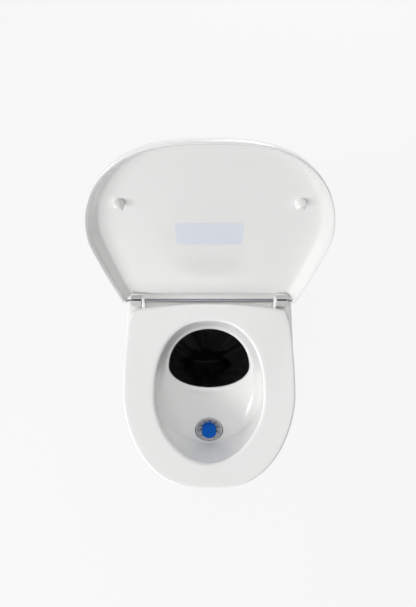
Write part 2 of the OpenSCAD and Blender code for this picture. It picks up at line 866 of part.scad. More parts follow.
bucket_top = ridge_z - lip_h - bucket_gap;
bucket_y = line_y - (chute_rear + chute_front) / 2 + 9;
bail_z = bucket_top - 14;
bail_x = bucket_w / 2 + 11;
bail_reach = bucket_l / 2 + 20;
bail_lean = 4;
bail_hang = acos((bucket_l / 2 - bail_lean + grip_d / 2 + seat_gap) / bail_reach);

function bucket_ring(z, d) = let (
        in = d + bucket_draft * (bucket_top - z) / (bucket_top - bucket_z)
    )
    at(box_plan(bucket_w / 2 - in, bucket_l / 2 - in, bucket_r - d, bucket_y), z);

module solids_bucket() {
    rim = 6;
    color(grey_plastic) difference() {
        union() {
            loft([bucket_ring(bucket_z, 4), bucket_ring(bucket_z + 4, 0), bucket_ring(bucket_top, 0)]);
            loft([for (z = [bucket_top - 3, bucket_top]) bucket_ring(z, -rim)]);
            pair() translate([bucket_w / 2 - 4, bucket_y, bail_z]) rotate([0, 90, 0])
                cylinder(d = 16, h = 9, $fn = 48);
        }
        loft([
            bucket_ring(bucket_z + bucket_t, bucket_t + 3),
            bucket_ring(bucket_z + bucket_t + 4, bucket_t),
            bucket_ring(bucket_top + cut, bucket_t)
        ]);
        pair() translate([bucket_w / 2 - 1, bucket_y, bail_z]) rotate([0, 90, 0])
            cylinder(d = bail_d + slip, h = 20, $fn = 48);
    }
}

// Plain film: a cup inside the bucket with its hem over the rim
film = 0.8;
module liner_bag() {
    low = bucket_z + bucket_t + seat_gap;
    hem = bucket_top + seat_gap;
    color(black_plastic) difference() {
        union() {
            loft([bucket_ring(low, bucket_t + 3.5), bucket_ring(low + 4, bucket_t + 0.4),
                bucket_ring(hem + film, bucket_t + 0.4)]);
            difference() {
                loft([for (z = [bucket_top - 4, hem + film]) bucket_ring(z, -7.4)]);
                loft([for (z = [bucket_top - 4 - cut, hem]) bucket_ring(z, -6.4)]);
            }
        }
        loft([bucket_ring(low + film, bucket_t + 5), bucket_ring(low + 5, bucket_t + 0.4 + film),
            bucket_ring(hem + film + cut, bucket_t + 0.4 + film)]);
    }
}

// Frame of the bail: it hangs forward with its grip against the bucket
module at_bail() {
    translate([0, bucket_y, bail_z]) rotate([bail_hang, 0, 0]) children();
}

module bail_wire() {
    corner = 26;
    elbow = 6;
    arm = bail_reach - corner - elbow;
    half = bail_x - corner;
    color(steel) at_bail() pair() {
        translate([bucket_w / 2, 0, 0]) rotate([0, 90, 0])
            cylinder(d = bail_d, h = bail_x - elbow - bucket_w / 2, $fn = 32);
        translate([bail_x - elbow, -elbow, 0])
            rotate_extrude(angle = 90, $fn = 96) translate([elbow, 0]) circle(d = bail_d, $fn = 32);
        translate([bail_x, -elbow, 0]) rotate([90, 0, 0]) cylinder(d = bail_d, h = arm, $fn = 32);
        translate([half, corner - bail_reach, 0]) rotate([0, 0, -90])
            rotate_extrude(angle = 90, $fn = 96) translate([corner, 0]) circle(d = bail_d, $fn = 32);
        translate([0, -bail_reach, 0]) rotate([0, 90, 0]) cylinder(d = bail_d, h = half, $fn = 32);
    }
}

module bail_grip() {
    color(grey_plastic) at_bail() translate([-grip_len / 2, -bail_reach, 0]) rotate([0, 90, 0])
        tube(grip_d, bail_d + slip, grip_len);
}

// ---------- ventilation ----------

fan_bore = fan_side - 6;
screw_d = 4;
screw_span = fan_side - 9;
flange_t = 3;
shaft_d = 3;
hub_d = 30;
motor_d = 25;
plate_t = 2.5;
fan_front = wall + flange_t + fan_depth;

module at_corners() {
    for (x = [-1, 1], y = [-1, 1]) translate([x * screw_span / 2, y * screw_span / 2, 0]) children();
}

// Square outline with round corners
module rounded_square(side, r) {
    difference() {
        square(side, center = true);
        for (a = [0 : 90 : 270]) rotate(a) translate([side / 2 - r, side / 2 - r]) difference() {
            square(r + 1);
            circle(r = r, $fn = 48);
        }
    }
}

// Outline of the fan's frame with its bore and screw holes
module frame_outline() {
    difference() {
        rounded_square(fan_side, 5);
        circle(d = fan_bore, $fn = 96);
        at_corners() circle(d = screw_d + slip, $fn = 32);
    }
}

// Flanged vent spigot, put in from inside
module vent_outlet() {
    color(white) from_back(0, -vent_len, vent_z) difference() {
        union() {
            cylinder(d = vent_d, h = vent_len + wall + 1, $fn = 96);
            translate([0, 0, vent_len]) cylinder(d = vent_neck_d, h = wall + 1, $fn = 96);
            translate([0, 0, vent_len + wall]) linear_extrude(flange_t) rounded_square(fan_side + 8, 6);
        }
        translate([0, 0, -cut]) cylinder(d = vent_d - 4, h = vent_len + wall + flange_t + 2 * cut, $fn = 96);
        translate([0, 0, vent_len + wall]) at_corners()
            translate([0, 0, -cut]) cylinder(d = screw_d + slip, h = flange_t + 2 * cut, $fn = 32);
    }
}

// Frame with four struts that carry the motor plate
module fan_frame() {
    color(black_plastic) from_back(0, wall + flange_t, vent_z) {
        linear_extrude(plate_t) {
            frame_outline();
            circle(d = motor_d + 4, $fn = 64);
            for (a = [45 : 90 : 315]) rotate(a) translate([motor_d / 2, -2])
                square([fan_bore / 2 - motor_d / 2 + 1, 4]);
        }
        translate([0, 0, plate_t]) linear_extrude(fan_depth - plate_t) frame_outline();
    }
}

module fan_motor() {
    color(steel) from_back(0, wall + flange_t + plate_t, vent_z) {
        cylinder(d = motor_d, h = 9, $fn = 64);
        cylinder(d = shaft_d, h = 19, $fn = 32);
    }
}

// Hub cup over the motor with swept blades
module fan_rotor() {
    hub_h = 17;
    blade_h = 15;
    blade_r = fan_bore / 2 - tip_gap;
    color(black_plastic) from_back(0, wall + flange_t + plate_t + 1.5, vent_z) difference() {
        union() {
            cylinder(d = hub_d, h = hub_h, $fn = 64);
            for (i = [0 : blades - 1]) rotate([0, 0, i * 360 / blades])
                translate([0, 0, 1]) linear_extrude(blade_h, twist = 34, slices = 4)
                    translate([hub_d / 2 - 2, -0.9]) square([blade_r - hub_d / 2 + 2, 1.8]);
        }
        translate([0, 0, -cut]) cylinder(d = motor_d + 1.6, h = 10, $fn = 64);
        translate([0, 0, -cut]) cylinder(d = shaft_d + slip, h = hub_h + 2 * cut, $fn = 32);
    }
}

// Grille of rings and spokes before the fan
module insect_screen() {
    color(grey_plastic) from_back(0, fan_front, vent_z) linear_extrude(2) {
        frame_outline();
        for (r = [8 : 5 : fan_bore / 2 - 3]) difference() {
            circle(r = r + 0.6, $fn = 64);
            circle(r = r - 0.6, $fn = 64);
        }
        for (a = [0 : 30 : 150]) rotate(a) square([fan_bore + 2, 1.2], center = true);
    }
}

module fan_screws() {
    color(steel) from_back(0, wall, vent_z) at_corners() {
        cylinder(d = screw_d, h = flange_t + fan_depth + 2, $fn = 32);
        translate([0, 0, flange_t + fan_depth + 2]) cylinder(d = 7.5, h = 2.6, $fn = 32);
    }
}

// Low-voltage socket through the back wall
module power_inlet() {
    color(black_plastic) from_back(inlet_x, -2, vent_z) {
        difference() {
            union() {
                cylinder(d = inlet_d + 4, h = 2, $fn = 48);
                cylinder(d = inlet_d, h = 20, $fn = 48);
            }
            translate([0, 0, -cut]) cylinder(d = 6, h = 12, $fn = 48);
        }
        translate([0, 0, 2]) cylinder(d = 2, h = 10, $fn = 32);
    }
}

module inlet_nut() {
    color(steel) from_back(inlet_x, wall, vent_z) difference() {
        cylinder(d = inlet_d + 6, h = 3, $fn = 6);
        translate([0, 0, -cut]) cylinder(d = inlet_d + slip, h = 3 + 2 * cut, $fn = 48);
    }
}

lower_casing();
rubber_feet();
casing_seal();
upper_casing();
bowl_insert();
seat_ring();
seat_buffers();
lid_shell();
lid_bumpers();
hinge_pin();
hinge_sleeve();
hinge_bushes();
drain_strainer();
deodorant_tablet();
urine_funnel();
urine_downpipe();
urine_elbow();
urine_pipe();
urine_outlet();
outlet_nut();
outlet_seal();
solids_bucket();
liner_bag();
bail_wire();
bail_grip();
vent_outlet();
fan_frame();
fan_motor();
fan_rotor();
fan_screws();
insect_screen();
power_inlet();
inlet_nut();
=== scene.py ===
import math
import random

import bmesh
import bpy
from bpy.props import FloatProperty, FloatVectorProperty, IntProperty, PointerProperty
from mathutils import Matrix, Vector


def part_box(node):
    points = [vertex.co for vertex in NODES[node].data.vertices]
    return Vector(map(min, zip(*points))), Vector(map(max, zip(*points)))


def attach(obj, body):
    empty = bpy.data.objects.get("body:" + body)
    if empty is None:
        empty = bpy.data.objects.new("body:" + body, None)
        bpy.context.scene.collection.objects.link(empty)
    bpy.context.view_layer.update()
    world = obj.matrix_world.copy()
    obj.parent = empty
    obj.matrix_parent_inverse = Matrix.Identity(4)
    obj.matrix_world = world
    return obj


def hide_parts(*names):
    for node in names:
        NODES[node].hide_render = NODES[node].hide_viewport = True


bl_info = {
    "name": "Urine-diverting dry toilet",
    "version": (1, 0, 0),
    "blender": (4, 5, 0),
    "location": "3D View > Sidebar > Toilet",
    "description": "Smooth moulded shells, film liner, fittings and finishes of a dry toilet",
    "category": "Object",
}

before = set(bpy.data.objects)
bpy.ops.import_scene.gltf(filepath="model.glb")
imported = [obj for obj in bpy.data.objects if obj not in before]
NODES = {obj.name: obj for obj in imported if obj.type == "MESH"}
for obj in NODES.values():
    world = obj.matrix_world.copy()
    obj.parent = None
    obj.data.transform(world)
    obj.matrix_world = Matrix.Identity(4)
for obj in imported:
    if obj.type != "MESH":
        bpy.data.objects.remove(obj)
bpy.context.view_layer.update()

MM = 0.001


def middle(node):
    """Centre of a CAD node's box, in millimetres."""
    low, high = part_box(node)
    return (low + high) / 2 / MM


PIN = middle("hinge_pin")
FAN = middle("fan_motor")
PIPE_Z = middle("urine_outlet").z
INLET = middle("power_inlet")
# The pin lies behind the hinge line and below the seat's top
PIN_BACK, PIN_DROP = 6, 2
LINE_Y = PIN.y - PIN_BACK
SEAT_TOP = PIN.z + PIN_DROP
DECK_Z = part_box("seat_buffers")[0].z / MM
SPLIT_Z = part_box("upper_casing")[0].z / MM
RIM_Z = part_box("casing_seal")[0].z / MM
SEAL_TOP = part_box("casing_seal")[1].z / MM
FOOT_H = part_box("rubber_feet")[1].z / MM
BACK_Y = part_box("upper_casing")[1].y / MM
BUCKET_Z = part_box("solids_bucket")[0].z / MM
BUCKET_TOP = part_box("solids_bucket")[1].z / MM
BUCKET_Y = middle("solids_bucket").y
RIDGE_Z = SEAT_TOP - 70
FLOOR_Z = FOOT_H + 4
PIN_BORE = 2.55
BUSH_X, BUSH_LENGTH = 154, 23
DRAIN_TILT = 23
STRAINER_SHEET = 1.5
EAR_INSET = 3.5


def linear(code):
    """Linear RGB of an sRGB hex colour."""
    parts = [int(code[i:i + 2], 16) / 255 for i in (0, 2, 4)]
    return [c / 12.92 if c <= 0.04045 else ((c + 0.055) / 1.055) ** 2.4 for c in parts]


# ---------- sizes and colours a user would change ----------


def length(name, description, default):
    return FloatProperty(
        name=name, description=description, default=default * MM, min=0, unit="LENGTH", precision=4
    )


def colour(name, description, code):
    return FloatVectorProperty(
        name=name, description=description, default=linear(code), min=0, max=1, size=3, subtype="COLOR"
    )


class ToiletSizes(bpy.types.PropertyGroup):
    """Sizes of the moulded shells."""

    seat_width: length("Seat width", "Width over the widest part of the seat", 396)
    seat_reach: length("Seat reach", "Hinge line to the front tip of the seat", 424)
    seat_thickness: length("Seat thickness", "Thickness of the seat", 16)
    hole_width: length("Opening width", "Width of the seat's opening", 249)
    hinge_width: length("Hinge width", "Width of the casing at the hinge line", 386)
    lid_overhang: length("Lid overhang", "Overhang of the lid beyond the seat", 7.5)
    lid_depth: length("Lid depth", "Depth of the lid from its rim to its crown's edge", 26)
    lid_round: length("Lid round", "Width of the rounded band along the lid's edge", 34)
    lid_angle: FloatProperty(
        name="Lid angle", description="Opening angle of the lid at rest",
        default=math.radians(109), subtype="ANGLE",
    )
    label_width: length("Label width", "Width of the bare label in the lid", 116)
    label_height: length("Label height", "Height of the bare label in the lid", 61)
    film_slack: length("Film slack", "Height of the liner's folds", 13)
    film_folds: IntProperty(
        name="Film folds", description="Main folds round the liner", default=11, min=5, max=40
    )


class ToiletColours(bpy.types.PropertyGroup):
    """Colours of the finishes."""

    white: colour("White", "Glossy moulded seat, lid, bowl and top", "F7F7F6")
    tub_white: colour("Tub white", "Fine-grained moulded tub", "F2F2F0")
    grey: colour("Grey", "Satin pipes, bucket and screen", "8E9194")
    # Black of the fan and socket; on the well under the strainer it is painted shade
    black: colour("Black", "Fan, socket and the well under the strainer", "17181A")
    film: colour("Film", "Polyethylene liner film", "1B1C1E")
    rubber: colour("Rubber", "Seals, feet and buffers", "232425")
    steel: colour("Steel", "Drawn stainless steel", "84868A")
    sheet: colour("Sheet steel", "Pressed stainless sheet of the strainer", "CCCBC8")
    bush: colour("Bush", "Light acetal hinge bushes", "D2D2D0")
    tablet: colour("Tablet", "Pressed deodorant granules", "0058B8")
    label: colour("Label", "Bare label", "E9EFF8")


def sizes():
    return bpy.context.scene.toilet_sizes


def colours():
    return bpy.context.scene.toilet_colours


# ---------- outlines, in millimetres ----------

# Steps along the back corner, the side and the front curve of an outline
ARC, SIDE, FRONT = 12, 14, 34
REAR = ARC + 1 + SIDE
WIDEST = 216
FLANK_POWER, TIP_POWER = 2.76, 1.65
BOWL_STEP = 4
BOWL_T = 3
WALL = 3


def cos(a):
    return math.cos(math.radians(a))


def sin(a):
    return math.sin(math.radians(a))


def power(base, exponent):
    return max(base, 0.0) ** exponent


def steps(count, end=True):
    return [i / count for i in range(count + 1 if end else count)]


def whole(half):
    """Ring from the front tip up the right side, round the back and down the left side."""
    return list(reversed(half)) + [(-x, y) for x, y in half[:-1]]


def front_curve(w, reach):
    points = []
    for s in steps(FRONT):
        t = 90 * sin(90 * s)
        ahead = (reach - WIDEST) * power(sin(t), 2 / TIP_POWER)
        points.append((w * power(cos(t), 2 / FLANK_POWER), LINE_Y - WIDEST - ahead))
    return points


def side_curve(w_hinge, w, start=0.0):
    points = []
    for u in steps(SIDE, end=False):
        s = start + (1 - start) * u
        points.append((w_hinge + (w - w_hinge) * sin(90 * s), LINE_Y - WIDEST * s))
    return points


def casing_outline(side, toe, back):
    """Casing's outline, drawn in at its sides, its toe and its back."""
    s = sizes()
    margin, half_back, round_back = 2, 178, 45
    w = s.seat_width / MM / 2 + margin - side
    w_hinge = s.hinge_width / MM / 2 - side
    w_back = half_back - side
    r = round_back - back
    y = BACK_Y - back
    turns = [90 - 90 * u for u in steps(ARC)]
    corner = [(w_back - r + r * cos(q), y - r + r * sin(q)) for q in turns]
    return whole(corner + side_curve(w_hinge, w) + front_curve(w, s.seat_reach / MM + margin - toe))


def egg_outline(w, rear, widest, front, rear_power, front_power):
    """Egg in two halves that meet where it is widest, each with its own power."""
    back = []
    for i in range(REAR):
        t = 90 * (i + 0.5) / REAR
        rise = (widest - rear) * power(cos(t), 2 / rear_power)
        back.append((w * power(sin(t), 2 / rear_power), LINE_Y - widest + rise))
    nose = []
    for s in steps(FRONT):
        t = 90 * sin(90 * s)
        ahead = (front - widest) * power(sin(t), 2 / front_power)
        nose.append((w * power(cos(t), 2 / front_power), LINE_Y - widest - ahead))
    return whole(back + nose)


def hole_outline(d):
    """Seat's opening, wider by d all round; distances run forward from the hinge line."""
    half = sizes().hole_width / MM / 2 + d
    return egg_outline(half, rear=41 - d, widest=215, front=367.5 + d, rear_power=2.35, front_power=1.86)


def chute_outline(d):
    """Bowl's rear opening, wider by d all round."""
    return egg_outline(100 + d, rear=56 - d, widest=148, front=201 + d, rear_power=2.03, front_power=2.03)


def seat_outline(d):
    """Seat's outline, drawn in by d, with a bowed rear edge before the pin."""
    s = sizes()
    w = 180.5 - d
    r, bow, gap = 14, 15, 5
    x_edge = w - r
    y_edge = PIN.y - gap - d
    y_corner = y_edge - bow - r
    rear = [(x_edge * (i + 0.5) / 8, y_edge - bow * ((i + 0.5) / 8) ** 2) for i in range(8)]
    corner = [(x_edge + r * cos(q), y_corner + r * sin(q)) for q in (84, 63, 42, 21, 0)]
    side = side_curve(w, s.seat_width / MM / 2 - d, (LINE_Y - y_corner + r) / WIDEST)
    return whole(rear + corner + side + front_curve(s.seat_width / MM / 2 - d, s.seat_reach / MM - d))


def lid_line(d):
    """Open line round the lid's edge, from its right rear corner to its left one."""
    s = sizes()
    over = s.lid_overhang / MM
    w_hinge = s.hinge_width / MM / 2 + over - EAR_INSET - d
    w = s.seat_width / MM / 2 + over - d
    half = [(w_hinge, LINE_Y + 4)] + side_curve(w_hinge, w, 0.01)
    half += front_curve(w, s.seat_reach / MM + over - d)
    return half + [(-x, y) for x, y in reversed(half[:-1])]


def lid_rim_height():
    """Height of the lid's rim when it is shut."""
    angle = sizes().lid_angle
    return PIN.z - PIN_BACK * math.sin(angle) + PIN_DROP * math.cos(angle)


def crown(x, y):
    """Rise of the lid's panel over its edge, highest on its centre line."""
    rise, top_at = 2, 150
    forward = max(0.0, (LINE_Y - top_at - y) / (sizes().seat_reach / MM - 170))
    back = max(0.0, (y - LINE_Y + top_at) / 400)
    across = x / (sizes().seat_width / MM / 2 - 22)
    return rise * max(0.0, 1 - across ** 2 - forward ** 2 - back ** 2)


def box_outline(half_x, half_y, r, y_mid, count):
    """Round-cornered rectangle in equal steps."""
    sx, sy, arc = 2 * (half_x - r), 2 * (half_y - r), math.pi * r / 2
    total = 2 * (sx + sy) + 4 * arc
    starts = ((r - half_x, half_y), (half_x, half_y - r), (half_x - r, -half_y), (-half_x, r - half_y))
    points = []
    for i in range(count):
        run = total * i / count
        for k, (stretch, corner) in enumerate(((sx, (1, 1)), (sy, (1, -1)), (sx, (-1, -1)), (sy, (-1, 1)))):
            heading = -90 * k
            if run <= stretch:
                x, y = starts[k]
                ux, uy = cos(heading), sin(heading)
                points.append((x + ux * run, y_mid + y + uy * run))
                break
            run -= stretch
            if run <= arc:
                a = 90 - 90 * k - math.degrees(run / r)
                cx, cy = corner[0] * (half_x - r), corner[1] * (half_y - r)
                points.append((cx + r * cos(a), y_mid + cy + r * sin(a)))
                break
            run -= arc
    return points


# ---------- mesh building ----------


def loop(bm, points, closed=True):
    """Edge loop through points given in millimetres."""
    verts = [bm.verts.new(Vector(p) * MM) for p in points]
    ends = verts[1:] + verts[:1] if closed else verts[1:]
    return [bm.edges.new(pair) for pair in zip(verts, ends)]


def skin(bm, rings, closed=True, joined=False):
    """Extrudes the first ring through the others, and back to itself when joined; returns the end loops."""
    edges = loop(bm, rings[0], closed)
    first = edges
    start = verts = [e.verts[0] for e in edges] + ([] if closed else [edges[-1].verts[1]])
    for ring in rings[1:] + (rings[:1] if joined else []):
        grown = bmesh.ops.extrude_edge_only(bm, edges=edges)["geom"]
        fresh = {item for item in grown if isinstance(item, bmesh.types.BMVert)}
        lines = [item for item in grown if isinstance(item, bmesh.types.BMEdge)]
        edges = [item for item in lines if fresh.issuperset(item.verts)]
        verts = [next(e.other_vert(v) for e in v.link_edges if e.other_vert(v) in fresh) for v in verts]
        for vert, point in zip(verts, ring):
            vert.co = Vector(point) * MM
    if joined:
        bmesh.ops.weld_verts(bm, targetmap=dict(zip(verts, start)))
    return first, edges


def at(outline, z):
    return [(x, y, z) for x, y in outline]


def between(a, b, u):
    return [tuple(p + (q - p) * u for p, q in zip(m, n)) for m, n in zip(a, b)]


def to_object(bm, name):
    bmesh.ops.recalc_face_normals(bm, faces=bm.faces)
    mesh = bpy.data.meshes.new(name)
    bm.to_mesh(mesh)
    bm.free()
    piece = bpy.data.objects.new(name, mesh)
    bpy.context.scene.collection.objects.link(piece)
    return piece


def bake(piece):
    """Applies the piece's modifiers to its mesh."""
    graph = bpy.context.evaluated_depsgraph_get()
    mesh = bpy.data.meshes.new_from_object(piece.evaluated_get(graph))
    piece.modifiers.clear()
    piece.data = mesh


def cut_away(piece, cutters):
    for cutter in cutters:
        tool = piece.modifiers.new("cut", "BOOLEAN")
        tool.operation = "DIFFERENCE"
        tool.solver = "EXACT"
        tool.object = cutter
    bake(piece)
    for cutter in cutters:
        bpy.data.objects.remove(cutter)


def rod(radius, depth, place, name="rod", segments=64):
    """Closed cylinder along +Z from z = 0, then placed, in millimetres."""
    bm = bmesh.new()
    bmesh.ops.create_cone(
        bm, cap_ends=True, segments=segments, radius1=radius * MM, radius2=radius * MM, depth=depth * MM,
        matrix=Matrix.Translation((0, 0, depth * MM / 2)),
    )
    bmesh.ops.transform(bm, matrix=place, verts=bm.verts)
    return to_object(bm, name)


def place(x, y, z, angle=0.0, axis="X"):
    return Matrix.Translation(Vector((x, y, z)) * MM) @ Matrix.Rotation(math.radians(angle), 4, axis)


def extruded(bm, profile, depth):
    """Extrudes a closed profile in the YZ plane along +X."""
    edges = loop(bm, [(0, y, z) for y, z in profile])
    face = bmesh.ops.contextual_create(bm, geom=edges)["faces"]
    grown = bmesh.ops.extrude_face_region(bm, geom=face)["geom"]
    verts = [v for v in grown if isinstance(v, bmesh.types.BMVert)]
    bmesh.ops.translate(bm, vec=(depth * MM, 0, 0), verts=verts)


def paired(bm, x):
    """Moves the shape out along X and mirrors it to the other side."""
    bmesh.ops.translate(bm, vec=(x * MM, 0, 0), verts=bm.verts)
    bmesh.ops.mirror(bm, geom=bm.verts[:] + bm.edges[:] + bm.faces[:], axis="X", merge_dist=0)


def soften(bm, width):
    """Bevels every edge sharper than 30 degrees."""
    sharp = [e for e in bm.edges if e.is_manifold and math.degrees(e.calc_face_angle(0)) > 30]
    bmesh.ops.bevel(
        bm, geom=sharp, offset=width * MM, segments=2, profile=0.5, affect="EDGES", material=-1,
        clamp_overlap=True,
    )


def finish(piece, body, material, replaced=(), crease=35):
    """Smooth shading, finish and body of a new piece."""
    piece.data.shade_smooth()
    piece.data.set_sharp_from_angle(angle=math.radians(crease))
    piece.data.materials.clear()
    piece.data.materials.append(material)
    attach(piece, body)
    if replaced:
        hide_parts(*replaced)


def lid_swing():
    """Turns what is modelled shut to the open rest place."""
    pivot = Vector(PIN) * MM
    pivot.x = 0
    swing = Matrix.Rotation(-sizes().lid_angle, 4, "X")
    return Matrix.Translation(pivot) @ swing @ Matrix.Translation(-pivot)


# ---------- materials ----------


def node(tree, kind, values=(), links=(), **settings):
    """Adds a shader node, sets its fields and inputs, and links its inputs from other outputs."""
    made = tree.nodes.new(kind)
    for key, value in settings.items():
        setattr(made, key, value)
    for key, value in dict(values).items():
        made.inputs[key].default_value = value
    for key, output in dict(links).items():
        tree.links.new(output, made.inputs[key])
    return made


def finish_of(name, base, roughness, metallic=0.0, ior=1.5):
    """Material with a Principled shader, its tree and the Object coordinates in it."""
    material = bpy.data.materials.new(name)
    material.use_nodes = True
    tree = material.node_tree
    shader = tree.nodes["Principled BSDF"]
    shader.inputs["Base Color"].default_value = (*base, 1)
    shader.inputs["Roughness"].default_value = roughness
    shader.inputs["Metallic"].default_value = metallic
    shader.inputs["IOR"].default_value = ior
    place_of = node(tree, "ShaderNodeTexCoord").outputs["Object"]
    return material, tree, shader, place_of


def vary(tree, shader, place_of, size_mm, low, high, detail=3.0):
    """Roughness that wanders between two values over patches of the given size."""
    scale = {"Scale": 1000 / size_mm, "Detail": detail}
    noise = node(tree, "ShaderNodeTexNoise", scale, {"Vector": place_of})
    ends = {"To Min": low, "To Max": high}
    spread = node(tree, "ShaderNodeMapRange", ends, {"Value": noise.outputs["Fac"]})
    tree.links.new(spread.outputs["Result"], shader.inputs["Roughness"])
    return noise


def relief(tree, shader, height, strength, distance_mm):
    """Bump from a height, no deeper than the given distance."""
    depth = {"Strength": strength, "Distance": distance_mm * MM}
    bump = node(tree, "ShaderNodeBump", depth, {"Height": height})
    tree.links.new(bump.outputs["Normal"], shader.inputs["Normal"])


def glossy_polypropylene():
    """Injection moulded from a polished tool: clear highlights with a faint orange peel."""
    material, tree, shader, place_of = finish_of("glossy_moulded_polypropylene", colours().white, 0.16)
    vary(tree, shader, place_of, 60, 0.12, 0.2)
    peel = node(tree, "ShaderNodeTexNoise", {"Scale": 1000 / 5, "Detail": 1.0}, {"Vector": place_of})
    relief(tree, shader, peel.outputs["Fac"], 0.08, 0.05)
    return material


def grained_polypropylene():
    """Moulded from a spark-eroded tool: a fine grain that breaks up the highlight."""
    material, tree, shader, place_of = finish_of("fine_grained_polypropylene", colours().tub_white, 0.38)
    vary(tree, shader, place_of, 45, 0.32, 0.44)
    # The real grain is about 0.3 mm and is drawn at 1.2 mm so that it shows
    grain = node(tree, "ShaderNodeTexNoise", {"Scale": 1000 / 1.2, "Detail": 2.0}, {"Vector": place_of})
    relief(tree, shader, grain.outputs["Fac"], 0.12, 0.12)
    return material


def satin_plastic(name, base, roughness):
    """Moulded satin plastic: soft sheen, slight flow variation."""
    material, tree, shader, place_of = finish_of(name, base, roughness)
    flow = vary(tree, shader, place_of, 18, roughness - 0.06, roughness + 0.06)
    relief(tree, shader, flow.outputs["Fac"], 0.1, 0.1)
    return material


def rubber_compound():
    """Pressed rubber: dull, with fine bloom."""
    material, tree, shader, place_of = finish_of("pressed_epdm_rubber", colours().rubber, 0.7)
    bloom = vary(tree, shader, place_of, 6, 0.62, 0.8, 5.0)
    relief(tree, shader, bloom.outputs["Fac"], 0.15, 0.1)
    return material


def drawn_metal(name, base, roughness, metallic, stretch, mark_mm, low, high, strength):
    """Metal with fine marks drawn out along X."""
    material, tree, shader, place_of = finish_of(name, base, roughness, metallic)
    along = node(tree, "ShaderNodeMapping", {"Scale": (stretch, 1, 1)}, {"Vector": place_of})
    marks = vary(tree, shader, along.outputs["Vector"], mark_mm, low, high, 2.0)
    relief(tree, shader, marks.outputs["Fac"], strength, 0.03)
    return material


def stainless_steel():
    """Drawn and polished rod: bright metal with fine draw lines along it."""
    return drawn_metal(
        "polished_stainless_steel", colours().steel, 0.18, 1.0,
        stretch=0.06, mark_mm=0.8, low=0.12, high=0.26, strength=0.06,
    )


def stainless_sheet():
    """Pressed and brushed sheet: dull metal with short brush marks."""
    return drawn_metal(
        "brushed_stainless_sheet", colours().sheet, 0.55, 0.3,
        stretch=0.1, mark_mm=0.6, low=0.42, high=0.58, strength=0.08,
    )


def pressed_tablet():
    """Coloured granules pressed into a block: crystals of several blues, rough and pitted."""
    material, tree, shader, place_of = finish_of("pressed_blue_granules", colours().tablet, 0.65)
    shader.inputs["Specular IOR Level"].default_value = 0.15
    cells = node(tree, "ShaderNodeTexVoronoi", {"Scale": 1000 / 2.6, "Randomness": 1.0}, {"Vector": place_of})
    ends = {"From Max": 0.6, "To Min": 0.5, "To Max": 1.35}
    tone = node(tree, "ShaderNodeMapRange", ends, {"Value": cells.outputs["Distance"]})
    mixed = node(
        tree, "ShaderNodeHueSaturation", {"Color": (*colours().tablet, 1)}, {"Value": tone.outputs["Result"]}
    )
    tree.links.new(mixed.outputs["Color"], shader.inputs["Base Color"])
    relief(tree, shader, cells.outputs["Distance"], 0.8, 1)
    return material


def liner_film():
    """Blown polyethylene film: thin, black, with a sheen on its folds."""
    material, tree, shader, place_of = finish_of("blown_polyethylene_film", colours().film, 0.42)
    creases = node(
        tree, "ShaderNodeTexNoise", {"Scale": 1000 / 22, "Detail": 6.0, "Roughness": 0.65, "Distortion": 1.2},
        {"Vector": place_of},
    )
    relief(tree, shader, creases.outputs["Fac"], 0.7, 3)
    return material


def label_stock():
    """Laminated paper label: nearly flat, faint fibre."""
    material, tree, shader, place_of = finish_of("laminated_paper_label", colours().label, 0.3)
    fibre = node(tree, "ShaderNodeTexNoise", {"Scale": 1000 / 1.5, "Detail": 3.0}, {"Vector": place_of})
    relief(tree, shader, fibre.outputs["Fac"], 0.05, 0.05)
    return material


FINISHES = {}


def finish_named(name):
    """Each finish is made once."""
    makers = {
        "white": glossy_polypropylene,
        "tub": grained_polypropylene,
        "grey": lambda: satin_plastic("satin_grey_polypropylene", colours().grey, 0.42),
        # Satin black of the fan and socket, also used as painted shade in the strainer's well
        "black": lambda: satin_plastic("satin_black_polyamide_and_painted_shade", colours().black, 0.45),
        "rubber": rubber_compound,
        "steel": stainless_steel,
        "sheet": stainless_sheet,
        "bush": lambda: satin_plastic("satin_light_acetal", colours().bush, 0.36),
        "tablet": pressed_tablet,
        "film": liner_film,
        "label": label_stock,
    }
    if name not in FINISHES:
        FINISHES[name] = makers[name]()
    return FINISHES[name]


def repaint(names, material):
    """Gives carried-over CAD nodes a finish."""
    for name in names:
        mesh = NODES[name].data
        if not mesh.materials:
            mesh.materials.append(material)
        for i in range(len(mesh.materials)):
            mesh.materials[i] = material


# ---------- pieces ----------


class TOILET_OT_seat(bpy.types.Operator):
    """Seat ring with rounded edges and its two hinge lugs"""

    bl_idname = "toilet.seat"
    bl_label = "Seat"

    def execute(self, context):
        top = SEAT_TOP
        under = top - sizes().seat_thickness / MM
        rings = [at(seat_outline(d), under + z) for d, z in ((2, 0), (0.6, 0.6), (0, 2))]
        rings += [at(seat_outline(6 * (1 - cos(q))), top - 6 + 6 * sin(q)) for q in range(0, 91, 15)]
        inner = at(hole_outline(7), top - 1.5)
        rings += [between(rings[-1], inner, u) for u in (0.12, 0.3, 0.5, 0.7, 0.88)]
        rings += [at(hole_outline(7 * (1 - cos(q))), top - 8.5 + 7 * sin(q)) for q in range(90, -1, -15)]
        rings += [at(hole_outline(d), under + z) for d, z in ((0, 1.5), (0.4, 0.4), (1.5, 0))]
        bm = bmesh.new()
        skin(bm, rings, joined=True)
        seat = to_object(bm, "seat_moulding")
        finish(seat, "seat", finish_named("white"), ["seat_ring"])

        bm = bmesh.new()
        profile = [(PIN.y + 10 * cos(a), PIN.z + 10 * sin(a)) for a in range(100, -81, -12)]
        profile += [(PIN.y - 4, under + 1), (PIN.y - 34, under + 1)]
        profile += [(PIN.y - 34, top - 3), (PIN.y - 14, top - 3)]
        extruded(bm, profile, 7)
        soften(bm, 1.2)
        paired(bm, 146.5)
        lugs = to_object(bm, "seat_lugs")
        cut_away(lugs, [rod(PIN_BORE, 340, place(-170, PIN.y, PIN.z, 90, "Y"))])
        finish(lugs, "seat", finish_named("white"))
        return {"FINISHED"}


